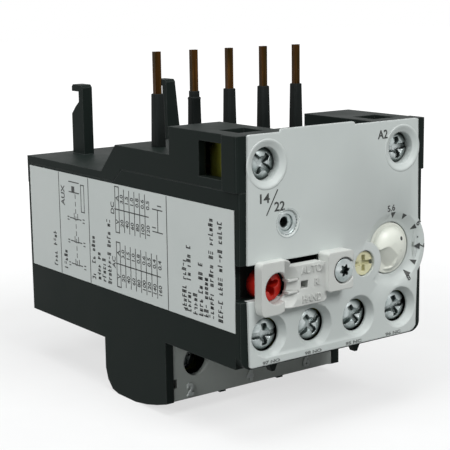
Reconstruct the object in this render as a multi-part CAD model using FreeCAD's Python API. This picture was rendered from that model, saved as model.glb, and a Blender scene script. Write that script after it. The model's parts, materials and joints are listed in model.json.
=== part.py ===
import FreeCAD, Part
import math
import os

os.makedirs("parts", exist_ok=True)

# Thermal overload relay, millimetres. +Z is up, the operating face looks along -Y.
# All sizes below count x from the middle, depth from the front cover's face and height from its lower edge.

# Clearances and small common sizes
touchGap = 0.05
slideGap = 0.1
fitGap = 0.15
hingeClear = 0.05
edgeTrim = 0.5
bigReach = 300.0

# Module
moduleWidth = 45.0
wallThick = 1.8
halfModule = moduleWidth / 2
innerHalf = halfModule - wallThick
casingFront = 0.5
casingRear = 78.9
casingFloor = -4.25
frontFloor = -0.35
frontFloorTop = frontFloor + wallThick
cornerRadius = 2.6
cornerDepth = 1.6

# Front cover
coverHeight = 42.3
coverHalf = halfModule - 1.45
coverCorners = (0.9, 2.2, 1.0, 0.8)
tongueHalf = innerHalf - slideGap
tongueBack = casingFront + 1.2
lipLeft = -13.4
lipRight = 4.3
lipRise = 0.55
lipSink = 2.0
lipCorners = (0.3, 0.3, 0.5, 0.5)

# Heights of the decks
middleDeckHeight = coverHeight - 5.4
rearDeckHeight = middleDeckHeight - 5.9
deckThick = 1.5
casingTopRear = rearDeckHeight - 1.6
casingTopFront = rearDeckHeight + 1.1
rearSkirtBottom = rearDeckHeight - 5.95
rearSkirtFront = casingRear - 1.8
topCoverRear = casingRear + fitGap

# Tall terminal housings and their caps
housingTop = coverHeight - 0.1
housingRear = 22.1
housingInner = halfModule - 11.9
housingWall = 1.4
housingRearWall = 1.6
housingRoof = 1.6
capReach = halfModule + 0.6
capDepth = 4.7
capBottom = casingTopFront + touchGap

# Plug pins
pinPitch = (moduleWidth - 10.0) / 4
pinDepth = 33.1
pinRadius = 0.9
pinNeckHalf = 0.6
pinRise = 18.55
pinTop = middleDeckHeight + pinRise
pinTipLength = 0.5
pinTipRadius = 0.65
sleeveTop = middleDeckHeight + 10.4
sleeveTopRadius = 1.25
sleeveBaseRadius = 1.5
sleeveSpigotRadius = 1.2
sleeveSides = 16
pinBarTop = casingTopRear - 0.2
pinBarThick = 1.4
pinBarHalf = 1.5
pinBarBottom = pinBarTop - pinBarThick

# Ramp between the decks and the seam that follows it
rampRear = pinDepth + 14.0
rampFront = rampRear - 5.7
seamRear = rampRear - 4.6
seamFront = seamRear - 3.2

# Load terminal block
blockFront = 24.9
blockDepth = 22.8
blockRear = blockFront + blockDepth
blockDrop = 15.1
blockBottom = frontFloor - blockDrop
blockWall = 1.8
loadCoverFront = blockFront + 0.2
loadCoverThick = 1.5
loadCoverBack = loadCoverFront + loadCoverThick
loadCoverTop = frontFloor - 0.35
loadCoverBottom = blockBottom + 2.55
poleSpacing = moduleWidth / 3
poleWallThick = 1.5
loadScrewHeight = blockBottom + 10.05
loadHoleRadius = 3.05
loadEntryHalf = 4.6
loadNotch = (blockBottom + 5.25, blockBottom + 7.05)
loadNotchDepth = 0.85
ribX = halfModule - 12.0
ribHalf = 2.2
ribTipHalf = 0.35
ribDrop = 3.55
ribFront = 6.2
ribRear = 7.6

# Screws, clamp washers and terminal tabs
screwHeadRadius = 2.95
screwHeadLength = 2.0
screwRecess = 0.6
screwHoleRadius = 3.15
housingHoleRadius = screwHoleRadius + 0.15
slotHalf = 0.45
slotDepth = 0.9
crossDepth = 1.35
crossHalf = 1.83
flareRadius = 4.1
flareDepth = 0.9
flareSides = 24
smallShankRadius = 1.5
loadShankRadius = 2.0
screwLength = 9.5
shankSides = 12
shankClear = 0.4
washerHalf = 2.9
loadWasherHalf = 3.4
washerThick = 0.9
tabThick = 1.2
tabSetback = 5.2
loadTabHalf = 3.6
loadHeadGap = 1.6
washerFront = screwRecess + screwHeadLength
tabBack = washerFront + tabSetback + tabThick
loadHead = loadCoverBack + loadHeadGap
loadTabBack = loadHead + screwHeadLength + tabSetback + tabThick
loadEntryFront = loadHead + screwHeadLength - 0.2
loadEntryRear = loadTabBack - tabThick - 0.2
auxHeight = 5.4
auxPitch = (halfModule - 6.15) * 2 / 3
wireEntryHalf = 2.6
wireEntryFront = 3.5
wireEntryRear = 8.7
fenceHalf = 0.6
fenceTop = auxHeight + 5.2

# Upper terminals
deckScrewOffset = halfModule - 6.0
deckScrewHeight = coverHeight - 5.5
housingFloorTop = deckScrewHeight - 3.1
sideWindow = (capDepth + 0.1, capDepth + 7.8, deckScrewHeight - 2.9, housingTop - 1.7)
topWindowInner = deckScrewOffset - 3.1
topWindowOuter = deckScrewOffset + 2.8
topWindowFront = capDepth - 0.1
topWindowRear = capDepth + 6.1
strapOffset = 0.7
strapHalf = 1.2
strapThick = 1.1
strapSlot = (-1.3, 1.4)

# Inner frame wall across the front chamber
frameFront = 9.0
frameRear = 10.2
frameTop = casingTopFront - 0.6

# Setting dial
dialX = halfModule - 8.1
dialZ = 17.3
earRadius = 8.5
dishRadius = 7.5
dishFloor = 1.3
dishFloorRadius = 5.3
knobRadius = 5.0
knobThick = 1.1
gripBaseRadius = 3.25
gripTopRadius = 1.9
gripRise = 2.0
scoopRadius = 2.6
scoopReach = 4.1
scoopAngles = (-35, 145)
dialShaftRadius = 2.0
dialCollarRadius = 3.0
camRadius = 3.6
camOffset = 1.1
camThick = 2.0
cupRadius = 8.2
cupDepth = 2.7

# Test button
testX = dialX - 7.4
testZ = dialZ - 1.8
testRadius = 2.35
testFront = 0.5
testCollarRadius = 4.2
testCollarThick = 0.9
testStemRadius = 1.3
testHeadRadius = 2.0
testHeadThick = 0.9
testShoulder = 4.3
testSlotDepth = 0.8

# Reset button, its selector rotor and the recess behind the index plate
resetX = -(halfModule - 6.75)
resetZ = 14.5
resetRadius = 2.8
resetClear = 0.12
resetFront = -0.9
resetTravel = 2.0
recessLeft = -innerHalf
recessRight = testX - 10.7
recessBottom = resetZ - 2.2
recessTop = resetZ + 4.5
recessDepth = 3.7
recessFloor = 1.2
recessWall = 1.2
recessNotchDepth = 2.8
stayHalf = 1.3
rotorRadius = 4.0
rotorFlangeRadius = 4.8
rotorFlangeThick = 1.1
rotorFront = recessDepth + recessFloor + fitGap
rotorRear = 16.0
rotorSpringSeat = 11.4
shankHalf = 1.4
resetHeadRadius = 2.6
resetHeadThick = 0.8
crossArm = 2.0
crossArmHalf = 0.55
crossPocket = 2.2
crossTurn = 35

# Index plate and its screw
plateThick = 2.0
plateBore = 2.95
plateLeft = resetX - 4.8
plateRight = resetX + 2.85
plateBottom = resetZ - 4.85
plateTop = resetZ + 4.95
plateCorners = (1.8, 3.0, 1.0, 1.3)
armRight = testX - 11.3
armBottom = resetZ - 4.1
armTop = resetZ + 3.6
armCorners = (0.5, 1.0, 1.3, 0.5)
scoopOuter = 5.1
scoopDepth = 1.4
windowLeft = resetX + 5.25
windowRight = resetX + 6.95
windowBottom = resetZ - 0.85
windowTop = resetZ + 0.55
slitHeights = (resetZ - 1.55, resetZ + 0.75)
slitWide = 0.4
torxX = testX - 7.8
torxZ = testZ + 0.3
holderHalf = 3.0
holderBottom = torxZ - 3.6
holderTop = torxZ + 3.7
holderThick = 3.0
holderCorners = (0.5, 0.5, 0.5, 0.5)
torxHeadRadius = 2.4
torxShankRadius = 1.25
torxSeat = 0.8
torxRise = 0.5
torxPocket = 1.0
torxStarOuter = 1.25
torxStarInner = 0.9

# Little metal eyelet of the cover
eyeletX = -(halfModule - 10.7)
eyeletRise = 5.5
eyeletZ = recessTop + recessWall + eyeletRise
eyeletRadius = 1.5
eyeletBore = 0.9
dimpleRadius = 2.45
dimpleDepth = 0.6
eyeletFront = 0.35
eyeletRear = 3.2

# Springs
springWire = 0.25
wireSides = 6
coilSteps = 12
springTurns = 4
resetCoilRadius = 2.35
testCoilRadius = 1.75

# Contactor hooks
hookX = halfModule - 11.3
hookHalf = 1.25
hookRise = 15.5
hookTop = rearDeckHeight + hookRise
hookFront = casingRear - 7.9
hookDeep = 5.0
hookNoseThick = 1.5
hookThroat = 3.8
hookStem = 1.7
gussetWide = 1.5
gussetDeep = 2.0

# Heaters and bimetals
bimetalThick = 0.8
bimetalHalf = 2.5
bimetalFoot = frontFloorTop + touchGap
bimetalDepth = pinDepth
ribbonThick = 0.35
ribbonWide = 1.4
ribbonGap = 0.5
ribbonFolds = 7
ribbonFoot = 6.0

# Trip slide
slideDepth = pinDepth + 5.9
slideThick = 1.2
slideBottom = frontFloorTop + slideGap
slideTall = 5.0
slideTravel = 1.5
fingerThick = 1.0
fingerGap = 0.25
fingerLow = 1.2
fingerHigh = 3.6
lugX = innerHalf - 4.7
lugThick = 0.9
lugTop = slideBottom + 8.4

# Bell-crank lever between the slide and the contact carrier
pivotX = innerHalf - 2.7
pivotY = pinDepth - 4.6
pivotRadius = 0.8
hubRadius = 1.9
leverBottom = slideBottom + slideTall + 0.55
leverTop = leverBottom + 2.4
bracketThick = 1.5
bracketLeft = pivotX - 2.5
bracketRear = pivotY + 1.9
bracketFront = pivotY - 2.0
armLong = 10.9
armShort = 7.6
armHalf = 0.8

# Contact carrier, bridges and auxiliary conductors
bridgeFront = 20.05
bridgeThick = 0.7
bridgeHalf = 6.6
bridgeBottom = auxHeight + 3.1
bridgeTop = bridgeBottom + 4.5
carrierFront = bridgeFront - 0.45
carrierRear = bridgeFront + 1.55
carrierBottom = bridgeTop - 1.0
carrierTop = carrierBottom + 2.5
carrierHalf = innerHalf - slideGap
tailLeft = pivotX - armShort
tailRight = tailLeft + 1.3
tailRear = pivotY + armHalf + slideGap
tailThick = 1.0
railReach = 2.3
railThick = 1.2
railFront = carrierFront - 0.3
railRear = carrierRear + 3.0
stripHalf = 1.25
stripBottom = auxHeight + 1.9
stripThick = 1.0
contactGap = 1.25
contactThick = 1.0
contactTop = bridgeTop - 1.5

# Side label
labelThick = 0.12
labelFront = 1.85
labelRear = casingRear - 1.05
labelBottom = 6.5
labelTop = casingTopRear - 0.45

# Common frame: origin below the middle of the depth, at the block's lowest face
frontMost = -(holderThick + torxRise)
frameShift = FreeCAD.Vector(0, -(topCoverRear + frontMost) / 2, -blockBottom)

poles = [-poleSpacing, 0.0, poleSpacing]
auxPlaces = [(i - 1.5) * auxPitch for i in range(4)]
deckPlaces = [-deckScrewOffset, deckScrewOffset]


def vec(x, y, z):
    return FreeCAD.Vector(x, y, z)


def block(x0, x1, y0, y1, z0, z1):
    return Part.makeBox(x1 - x0, y1 - y0, z1 - z0, vec(x0, y0, z0))


def sideBlock(side, near, far, y0, y1, z0, z1):
    # A block from near to far out from the middle, on the left or the right
    low, high = sorted((side * near, side * far))
    return block(low, high, y0, y1, z0, z1)


def rodY(x, z, y0, y1, radius):
    return Part.makeCylinder(radius, y1 - y0, vec(x, y0, z), vec(0, 1, 0))


def rodZ(x, y, z0, z1, radius):
    return Part.makeCylinder(radius, z1 - z0, vec(x, y, z0), vec(0, 0, 1))


def unitRing(sides):
    turns = [2 * math.pi * (i + 0.5) / sides for i in range(sides)]
    return [(math.cos(turn), math.sin(turn)) for turn in turns]


def solidBetween(rings):
    # Flat-sided solid between two rings that have the same number of points
    faces = [Part.Face(Part.makePolygon(ring + ring[:1])) for ring in rings]
    lower, upper = rings
    for i in range(len(lower)):
        corners = [lower[i - 1], lower[i], upper[i], upper[i - 1]]
        faces.append(Part.Face(Part.makePolygon(corners + corners[:1])))
    return Part.Solid(Part.Shell(faces))


def threadRod(x, z, y0, y1, radius):
    # A many-sided rod, used alike for the screws' shanks and for the holes round them
    return frontPrism([(x + radius * across, z + radius * up) for across, up in unitRing(shankSides)], y0, y1)


def flareCut(x, z, depth, radius0, radius1):
    # The funnel at the mouth of a bore, just reaching the bore's own radius
    rings = []
    for y, radius in ((0, radius0), (depth, radius1)):
        rings.append([vec(x + radius * across, y, z + radius * up) for across, up in unitRing(flareSides)])
    return solidBetween(rings)


def coneY(x, z, y0, y1, radius0, radius1):
    return Part.makeCone(radius0, radius1, y1 - y0, vec(x, y0, z), vec(0, 1, 0))


def coneZ(x, y, z0, z1, radius0, radius1):
    return Part.makeCone(radius0, radius1, z1 - z0, vec(x, y, z0), vec(0, 0, 1))


def prism(corners, direction):
    face = Part.Face(Part.makePolygon(corners + corners[:1]))
    return face.extrude(direction)


def sidePrism(points, x0, x1):
    return prism([vec(x0, y, z) for y, z in points], vec(x1 - x0, 0, 0))


def frontPrism(points, y0, y1):
    return prism([vec(x, y0, z) for x, z in points], vec(0, y1 - y0, 0))


def roundedPlate(x0, x1, z0, z1, y0, y1, radii):
    # radii run lower left, lower right, upper right, upper left
    quarter = 90
    steps = 6
    places = [(x0, z0, 1, 1), (x1, z0, -1, 1), (x1, z1, -1, -1), (x0, z1, 1, -1)]
    points = []
    for turn, ((cx, cz, sx, sz), radius) in enumerate(zip(places, radii)):
        for step in range(steps + 1):
            angle = math.radians(2 * quarter + quarter * turn + quarter * step / steps)
            x = cx + sx * radius + radius * math.cos(angle)
            z = cz + sz * radius + radius * math.sin(angle)
            points.append((x, z))
    return frontPrism(points, y0, y1)


def joined(shapes):
    body = shapes[0].multiFuse(shapes[1:]) if len(shapes) > 1 else shapes[0]
    return body.removeSplitter()


def verticalEdgeTrim(side, reach):
    # Small two-step bevel along an upright front corner
    slope = 0.27 * edgeTrim
    corner = [(reach, casingFront - 1), (reach - edgeTrim, casingFront - 1), (reach - edgeTrim, casingFront),
              (reach - slope, casingFront + slope), (reach, casingFront + edgeTrim)]
    return prism([vec(side * x, y, blockBottom) for x, y in corner], vec(0, 0, bigReach))


def helixSpring(x, z, y0, y1, coilRadius, turns):
    # A six-sided wire carried along short straight runs round the coil
    rise = y1 - y0 - 2 * springWire
    steps = coilSteps * turns
    points = []
    for i in range(steps + 1):
        angle = 2 * math.pi * i / coilSteps
        depth = y0 + springWire + rise * i / steps
        points.append(vec(x + coilRadius * math.cos(angle), depth, z + coilRadius * math.sin(angle)))
    corners = []
    for i in range(wireSides):
        angle = 2 * math.pi * i / wireSides
        corners.append(points[0] + vec(springWire * math.cos(angle), springWire * math.sin(angle), 0))
    sweep = Part.BRepOffsetAPI.MakePipeShell(Part.makePolygon(points))
    sweep.add(Part.makePolygon(corners + corners[:1]))
    sweep.setTransitionMode(1)
    sweep.build()
    sweep.makeSolid()
    return sweep.shape()


def save(name, shape):
    placed = shape.copy()
    placed.translate(frameShift)
    placed.exportStep(os.path.join("parts", name + ".step"))
    box = placed.BoundBox
    limits = (box.XMin, box.XMax, box.YMin, box.YMax, box.ZMin, box.ZMax)
    print(name, placed.isValid(), len(placed.Solids), round(placed.Volume, 1), [round(v, 1) for v in limits])


def terminalTab(x, z, yBack, half, shankRadius):
    tab = block(x - half, x + half, yBack - tabThick, yBack, z - half, z + half)
    return tab.cut(threadRod(x, z, yBack - 2 * tabThick, yBack + tabThick, shankRadius))


def terminalScrew(x, z, yHead, shankRadius):
    head = rodY(x, z, yHead, yHead + screwHeadLength, screwHeadRadius)
    shank = threadRod(x, z, yHead + screwHeadLength, yHead + screwHeadLength + screwLength, shankRadius)
    across = block(x - bigReach, x + bigReach, yHead - 1, yHead + slotDepth, z - slotHalf, z + slotHalf)
    upright = block(x - slotHalf, x + slotHalf, yHead - 1, yHead + crossDepth, z - crossHalf, z + crossHalf)
    return joined([head, shank]).cut(across).cut(upright)


def clampWasher(x, z, yFront, half, shankRadius):
    plate = block(x - half, x + half, yFront, yFront + washerThick, z - half, z + half)
    pieces = [plate]
    for side in (-1, 1):
        low, high = sorted((side * half, side * (half - washerThick)))
        pieces.append(block(x + low, x + high, yFront + washerThick, yFront + 2 * washerThick, z - half,
                            z + half))
    hole = threadRod(x, z, yFront - 1, yFront + 2 * washerThick + 1, shankRadius + fitGap)
    return joined(pieces).cut(hole)


def casingShell():
    outline = [(casingFront, frontFloor), (blockFront, frontFloor), (blockFront, blockBottom + 2.45),
               (blockFront + 3.4, blockBottom + 1.45), (blockFront + 7.1, blockBottom + 0.6),
               (blockFront + 11.5, blockBottom), (blockRear - 4.7, blockBottom),
               (blockRear - 2.5, blockBottom + 0.55),
               (blockRear - 0.8, blockBottom + 2.25), (blockRear, blockBottom + 4.65),
               (blockRear, casingFloor),
               (casingRear, casingFloor), (casingRear, rearSkirtBottom), (rearSkirtFront, rearSkirtBottom),
               (rearSkirtFront, casingTopRear), (seamRear, casingTopRear), (seamFront, casingTopFront),
               (casingFront, casingTopFront)]
    shell = sidePrism(outline, -halfModule, halfModule)
    for side in (-1, 1):
        shell = shell.cut(verticalEdgeTrim(side, halfModule))
        square = sideBlock(side, halfModule - cornerRadius, halfModule + 1, casingFront - 1,
                           casingFront + cornerDepth,
                           frontFloor - 1, frontFloor + cornerRadius)
        bend = rodY(side * (halfModule - cornerRadius), frontFloor + cornerRadius, casingFront - 2,
                    casingFront + 2 * cornerDepth, cornerRadius)
        shell = shell.cut(square.cut(bend))
    return shell


def casingHollows():
    rearRoom = block(-innerHalf, innerHalf, frameRear, casingRear - wallThick, casingFloor + wallThick,
                     bigReach)
    frontSolid = block(-bigReach, bigReach, 0, blockFront + wallThick, -bigReach, frontFloorTop)
    frontRoom = block(-innerHalf, innerHalf, casingFront - bigReach, frameFront, frontFloorTop, bigReach)
    loadRoomTop = casingFloor + wallThick + 1
    loadRoom = sidePrism([(loadCoverBack, loadRoomTop), (loadCoverBack, blockBottom + 2.9),
                          (blockFront + 7.4, blockBottom + 2.35),
                          (blockFront + 11.8, blockBottom + blockWall),
                          (blockRear - 5.1, blockBottom + blockWall), (blockRear - 3.4, blockBottom + 2.25),
                          (blockRear - 2.4, blockBottom + 3.25), (blockRear - blockWall, blockBottom + 5.25),
                          (blockRear - blockWall, loadRoomTop)], -innerHalf, innerHalf)
    coverSeat = block(-innerHalf, innerHalf, blockFront - 1, loadCoverBack, blockBottom - 1, frontFloor)
    aboveFrame = block(-innerHalf, innerHalf, frameFront - 1, frameRear + 1, frameTop, bigReach)
    return [rearRoom.cut(frontSolid), frontRoom, loadRoom, coverSeat, aboveFrame]


def casingWalls():
    walls = []
    for side in (-1, 1):
        x = side * poleSpacing / 2
        half = poleWallThick / 2
        walls.append(block(x - half, x + half, loadCoverBack, blockRear - 1.2, blockBottom + 1.6,
                           frontFloorTop))
        walls.append(block(x - half, x + half, blockRear - 1.7, casingRear - 1, casingFloor + 1,
                           pinBarBottom - 4))
        walls.append(sideBlock(side, innerHalf - poleWallThick, innerHalf + touchGap, loadCoverBack,
                               loadEntryFront,
                               loadCoverBottom, frontFloor + touchGap))
        walls.append(frontPrism([(side * ribX - ribHalf, frontFloor + fitGap),
                                 (side * ribX - ribTipHalf, frontFloor - ribDrop),
                                 (side * ribX + ribTipHalf, frontFloor - ribDrop),
                                 (side * ribX + ribHalf, frontFloor + fitGap)], ribFront, ribRear))
        for low in (carrierBottom - touchGap - railThick, carrierTop + touchGap):
            walls.append(sideBlock(side, innerHalf - railReach, innerHalf + touchGap, railFront, railRear,
                                   low, low + railThick))
    tabWall = block(-innerHalf - touchGap, innerHalf + touchGap, loadTabBack, loadTabBack + tabThick,
                    blockBottom + blockWall - touchGap, frontFloorTop)
    for x in poles:
        tabWall = tabWall.cut(threadRod(x, loadScrewHeight, loadTabBack - 1, loadTabBack + 2 * tabThick,
                                        loadShankRadius + shankClear))
    walls.append(tabWall)
    for x in (-auxPitch, 0.0, auxPitch):
        walls.append(block(x - fenceHalf, x + fenceHalf, cupDepth + slideGap, frameFront + touchGap,
                           frontFloorTop - touchGap, fenceTop))
    walls.append(block(recessLeft - touchGap, recessRight + recessWall, tongueBack, recessDepth + recessFloor,
                       recessBottom - recessWall, recessTop + recessWall))
    stayX = recessRight - stayHalf
    walls.append(block(stayX - stayHalf, stayX + stayHalf, recessDepth, frameFront + touchGap, recessBottom,
                       recessTop))
    walls.append(block(bracketLeft, innerHalf + touchGap, bracketFront, bracketRear,
                       leverBottom - touchGap - bracketThick, leverBottom - touchGap))
    walls.append(rodZ(pivotX, pivotY, leverBottom - touchGap - bracketThick, leverTop + touchGap,
                      pivotRadius))
    return walls


def casingOpenings():
    cuts = [block(recessLeft, recessRight, casingFront - 2, recessDepth, recessBottom, recessTop),
            block(-bigReach, recessLeft + touchGap, casingFront - 2, recessNotchDepth, recessBottom,
                  recessTop),
            rodY(resetX, resetZ, casingFront - 2, recessDepth + recessFloor + 1, resetRadius + resetClear),
            rodY(dialX, dialZ, frameFront - 1, frameRear + 1, dialShaftRadius + hingeClear),
            rodY(testX, testZ, frameFront - 1, frameRear + 1, testStemRadius + hingeClear),
            rodY(resetX, resetZ, frameFront - 1, frameRear + 1, rotorRadius + hingeClear)]
    for x in poles:
        cuts.append(block(x - loadEntryHalf, x + loadEntryHalf, loadEntryFront - 0.1, loadEntryRear + 0.1,
                          blockBottom - 1, blockBottom + 3.45))
    for x in auxPlaces:
        cuts.append(threadRod(x, auxHeight, frameFront - 1, frameRear + 1, smallShankRadius + shankClear))
        cuts.append(block(x - stripHalf - touchGap, x + stripHalf + touchGap, frameFront - 1, frameRear + 1,
                          stripBottom - touchGap, stripBottom + stripThick + touchGap))
        cuts.append(block(x - wireEntryHalf, x + wireEntryHalf, wireEntryFront, wireEntryRear,
                          frontFloor - touchGap, frontFloorTop + 0.2))
    return cuts


def baseCasing():
    shell = casingShell()
    for hollow in casingHollows():
        shell = shell.cut(hollow)
    shell = joined([shell] + casingWalls())
    for opening in casingOpenings():
        shell = shell.cut(opening)
    return shell


def hook(x, gusset):
    rear = hookFront + hookDeep
    foot = casingTopRear
    noseLow = hookTop - hookNoseThick
    throatLow = noseLow - hookThroat / 2
    profile = [(hookFront, foot), (hookFront, hookTop - 0.6), (hookFront + 0.6, hookTop),
               (rear - 0.9, hookTop),
               (rear - 0.4, hookTop - 0.5), (rear - 0.4, noseLow), (hookFront + hookStem, noseLow),
               (hookFront + hookStem, throatLow - 0.4), (hookFront + hookStem + 1.5, throatLow - 1.5),
               (rear - 0.1, throatLow - 3.2), (rear, foot)]
    body = sidePrism(profile, x - hookHalf, x + hookHalf)
    if gusset:
        edge = x + hookHalf
        rib = frontPrism([(edge - 0.3, foot), (edge - 0.3, hookTop - 1), (edge, hookTop - 1),
                          (edge + gussetWide, rearDeckHeight), (edge + gussetWide, foot)],
                         hookFront, hookFront + gussetDeep)
        body = joined([body, rib])
    return body


def topCover():
    seat = casingTopFront + touchGap
    outer = [(casingFront, seat), (casingFront, middleDeckHeight), (rampFront, middleDeckHeight),
             (rampRear, rearDeckHeight), (topCoverRear, rearDeckHeight), (topCoverRear, rearSkirtBottom),
             (rearSkirtFront + fitGap, rearSkirtBottom), (rearSkirtFront + fitGap, casingTopRear + touchGap),
             (seamRear + touchGap, casingTopRear + touchGap), (seamFront + touchGap, seat)]
    body = sidePrism(outer, -halfModule, halfModule)
    ceiling = middleDeckHeight - deckThick
    hollow = [(casingFront + 1.2, rearSkirtBottom), (casingFront + 1.2, ceiling), (rampFront - 0.7, ceiling),
              (rampRear - 0.7, casingTopRear + touchGap), (rampRear - 0.7, rearSkirtBottom)]
    body = body.cut(sidePrism(hollow, -innerHalf, innerHalf))
    pieces = [body]
    for side in (-1, 1):
        pieces.append(sideBlock(side, housingInner, halfModule, casingFront, housingRear, seat, housingTop))
        pieces.append(sideBlock(side, housingInner, capReach, casingFront, capDepth, capBottom, housingTop))
    pieces.append(block(-housingInner - 1, housingInner + 1, casingFront, casingFront + 1.2, seat,
                        housingTop))
    body = joined(pieces)
    for side in (-1, 1):
        roomInner = housingInner + housingWall
        body = body.cut(sideBlock(side, roomInner, innerHalf + 0.2, casingFront + 1.2,
                                  housingRear - housingRearWall,
                                  housingFloorTop, housingTop - housingRoof))
        body = body.cut(sideBlock(side, innerHalf, capReach + 1, *sideWindow))
        body = body.cut(sideBlock(side, topWindowInner, topWindowOuter, topWindowFront, topWindowRear,
                                  housingTop - 2 * housingRoof, housingTop + 1))
        body = body.cut(threadRod(side * deckScrewOffset, deckScrewHeight, 0, 2 * housingRearWall,
                                  housingHoleRadius))
        strapX = deckScrewOffset + strapOffset
        body = body.cut(sideBlock(side, strapX + strapSlot[0], strapX + strapSlot[1],
                                  housingRear - 2 * housingRearWall,
                                  housingRear + 1, housingFloorTop, housingFloorTop + strapThick + slideGap))
        body = body.cut(verticalEdgeTrim(side, capReach))
    body = joined([body, hook(-hookX, False), hook(hookX, True)])
    for i in range(5):
        body = body.cut(spigot(i, ceiling - 1, middleDeckHeight + 1))
    return body


def frontCover():
    face = roundedPlate(-coverHalf, coverHalf, 0, coverHeight, 0, casingFront, coverCorners)
    lip = roundedPlate(lipLeft, lipRight, coverHeight - lipSink, coverHeight + lipRise, 0, casingFront,
                       lipCorners)
    ear = rodY(dialX, dialZ, 0, casingFront, earRadius)
    tongueTop = casingTopFront - slideGap
    tongue = block(-tongueHalf, tongueHalf, casingFront, tongueBack, frontFloorTop + slideGap, tongueTop)
    cup = rodY(dialX, dialZ, casingFront, cupDepth, cupRadius)
    cup = cup.common(block(0, tongueHalf, 0, cupDepth, 0, tongueTop))
    body = joined([face, lip, ear, tongue, cup])
    body = body.cut(block(-halfModule - 1, recessRight, -1, 2 * tongueBack, recessBottom, recessTop))
    body = body.cut(rodY(resetX, resetZ, -1, 2 * tongueBack, resetRadius + resetClear))
    body = body.cut(coneY(dialX, dialZ, 0, dishFloor, dishRadius, dishFloorRadius))
    body = body.cut(rodY(dialX, dialZ, dishFloor, cupDepth + 1, knobRadius + fitGap))
    body = joined([body, rodY(testX, testZ, 0, testCollarThick, testCollarRadius)])
    body = body.cut(rodY(testX, testZ, -1, cupDepth + 1, testRadius + fitGap))
    screwPlaces = [(x, auxHeight) for x in auxPlaces] + [(x, deckScrewHeight) for x in deckPlaces]
    for x, z in screwPlaces:
        body = body.cut(flareCut(x, z, flareDepth, flareRadius, screwHoleRadius))
        body = body.cut(rodY(x, z, 0, 2 * tongueBack, screwHoleRadius))
    body = body.cut(flareCut(eyeletX, eyeletZ, dimpleDepth, dimpleRadius, eyeletRadius))
    body = body.cut(rodY(eyeletX, eyeletZ, 0, 2 * tongueBack, eyeletRadius))
    return body.cut(threadRod(torxX, torxZ, -1, 2 * tongueBack, torxShankRadius))


def loadCover():
    half = innerHalf - fitGap
    plate = block(-half, half, loadCoverFront, loadCoverBack, loadCoverBottom, loadCoverTop)
    for x in poles:
        plate = plate.cut(rodY(x, loadScrewHeight, loadCoverFront - 1, loadCoverBack + 1, loadHoleRadius))
    for side in (-1, 1):
        plate = plate.cut(sideBlock(side, half - loadNotchDepth, half + 1, loadCoverFront - 1,
                                    loadCoverBack + 1, *loadNotch))
    return plate


def settingDial():
    flangeFront = dishFloor + touchGap
    gripFront = flangeFront - gripRise
    flange = rodY(dialX, dialZ, flangeFront, flangeFront + knobThick, knobRadius)
    grip = coneY(dialX, dialZ, gripFront, flangeFront + touchGap, gripTopRadius, gripBaseRadius)
    shaft = rodY(dialX, dialZ, flangeFront + knobThick - touchGap, frameRear + fitGap + camThick,
                 dialShaftRadius)
    collar = rodY(dialX, dialZ, flangeFront + knobThick - touchGap, frameFront - slideGap, dialCollarRadius)
    body = joined([flange, grip, shaft, collar])
    for angle in scoopAngles:
        x = dialX + scoopReach * math.cos(math.radians(angle))
        z = dialZ + scoopReach * math.sin(math.radians(angle))
        body = body.cut(rodY(x, z, gripFront - 1, flangeFront - touchGap, scoopRadius))
    return body


def settingCam():
    front = frameRear + fitGap
    disc = rodY(dialX + camOffset, dialZ, front, front + camThick, camRadius)
    return disc.cut(rodY(dialX, dialZ, front - 1, front + camThick + 1, dialShaftRadius))


def indexPlate():
    ring = roundedPlate(plateLeft, plateRight, plateBottom, plateTop, -plateThick, 0, plateCorners)
    arm = roundedPlate(resetX, armRight, armBottom, armTop, -plateThick, 0, armCorners)
    holder = roundedPlate(armRight - 0.35, torxX + holderHalf * 0.72, holderBottom, holderTop, -holderThick,
                          0, holderCorners)
    body = joined([ring, arm, holder])
    body = body.cut(rodY(resetX, resetZ, -holderThick - 1, 1, plateBore))
    funnel = coneY(resetX, resetZ, -plateThick, scoopDepth - plateThick, scoopOuter, plateBore)
    body = body.cut(funnel.common(block(resetX + plateBore / 2, armRight, -plateThick, 0, plateBottom,
                                        plateTop)))
    body = body.cut(block(windowLeft, windowRight, -holderThick, 1, windowBottom, windowTop))
    for z in slitHeights:
        body = body.cut(block(resetX + 2.5, windowLeft - 0.4, -holderThick, 1, z, z + slitWide))
    body = body.cut(rodY(torxX, torxZ, -holderThick - 1, -holderThick + torxSeat, torxHeadRadius + fitGap))
    return body.cut(threadRod(torxX, torxZ, -holderThick - 1, 1, torxShankRadius))


def plateScrew():
    seat = torxSeat - holderThick
    head = rodY(torxX, torxZ, frontMost, seat, torxHeadRadius)
    shank = threadRod(torxX, torxZ, seat, 2 * tongueBack, torxShankRadius)
    star = []
    points = 12
    for i in range(points):
        angle = 2 * math.pi * i / points
        radius = torxStarOuter if i % 2 == 0 else torxStarInner
        star.append((torxX + radius * math.cos(angle), torxZ + radius * math.sin(angle)))
    return joined([head, shank]).cut(frontPrism(star, frontMost - 1, frontMost + torxPocket))


def resetButton():
    drum = rodY(resetX, resetZ, resetFront, rotorFront + touchGap, resetRadius)
    shankEnd = rotorRear + slideGap
    shank = block(resetX - shankHalf, resetX + shankHalf, rotorFront, shankEnd, resetZ - shankHalf,
                  resetZ + shankHalf)
    head = rodY(resetX, resetZ, shankEnd, shankEnd + resetHeadThick, resetHeadRadius)
    body = joined([drum, shank, head])
    for wide, tall in ((crossArm, crossArmHalf), (crossArmHalf, crossArm)):
        arm = block(resetX - wide, resetX + wide, resetFront - 1, resetFront + crossPocket, resetZ - tall,
                    resetZ + tall)
        arm.rotate(vec(resetX, 0, resetZ), vec(0, 1, 0), crossTurn)
        body = body.cut(arm)
    return body


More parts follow.
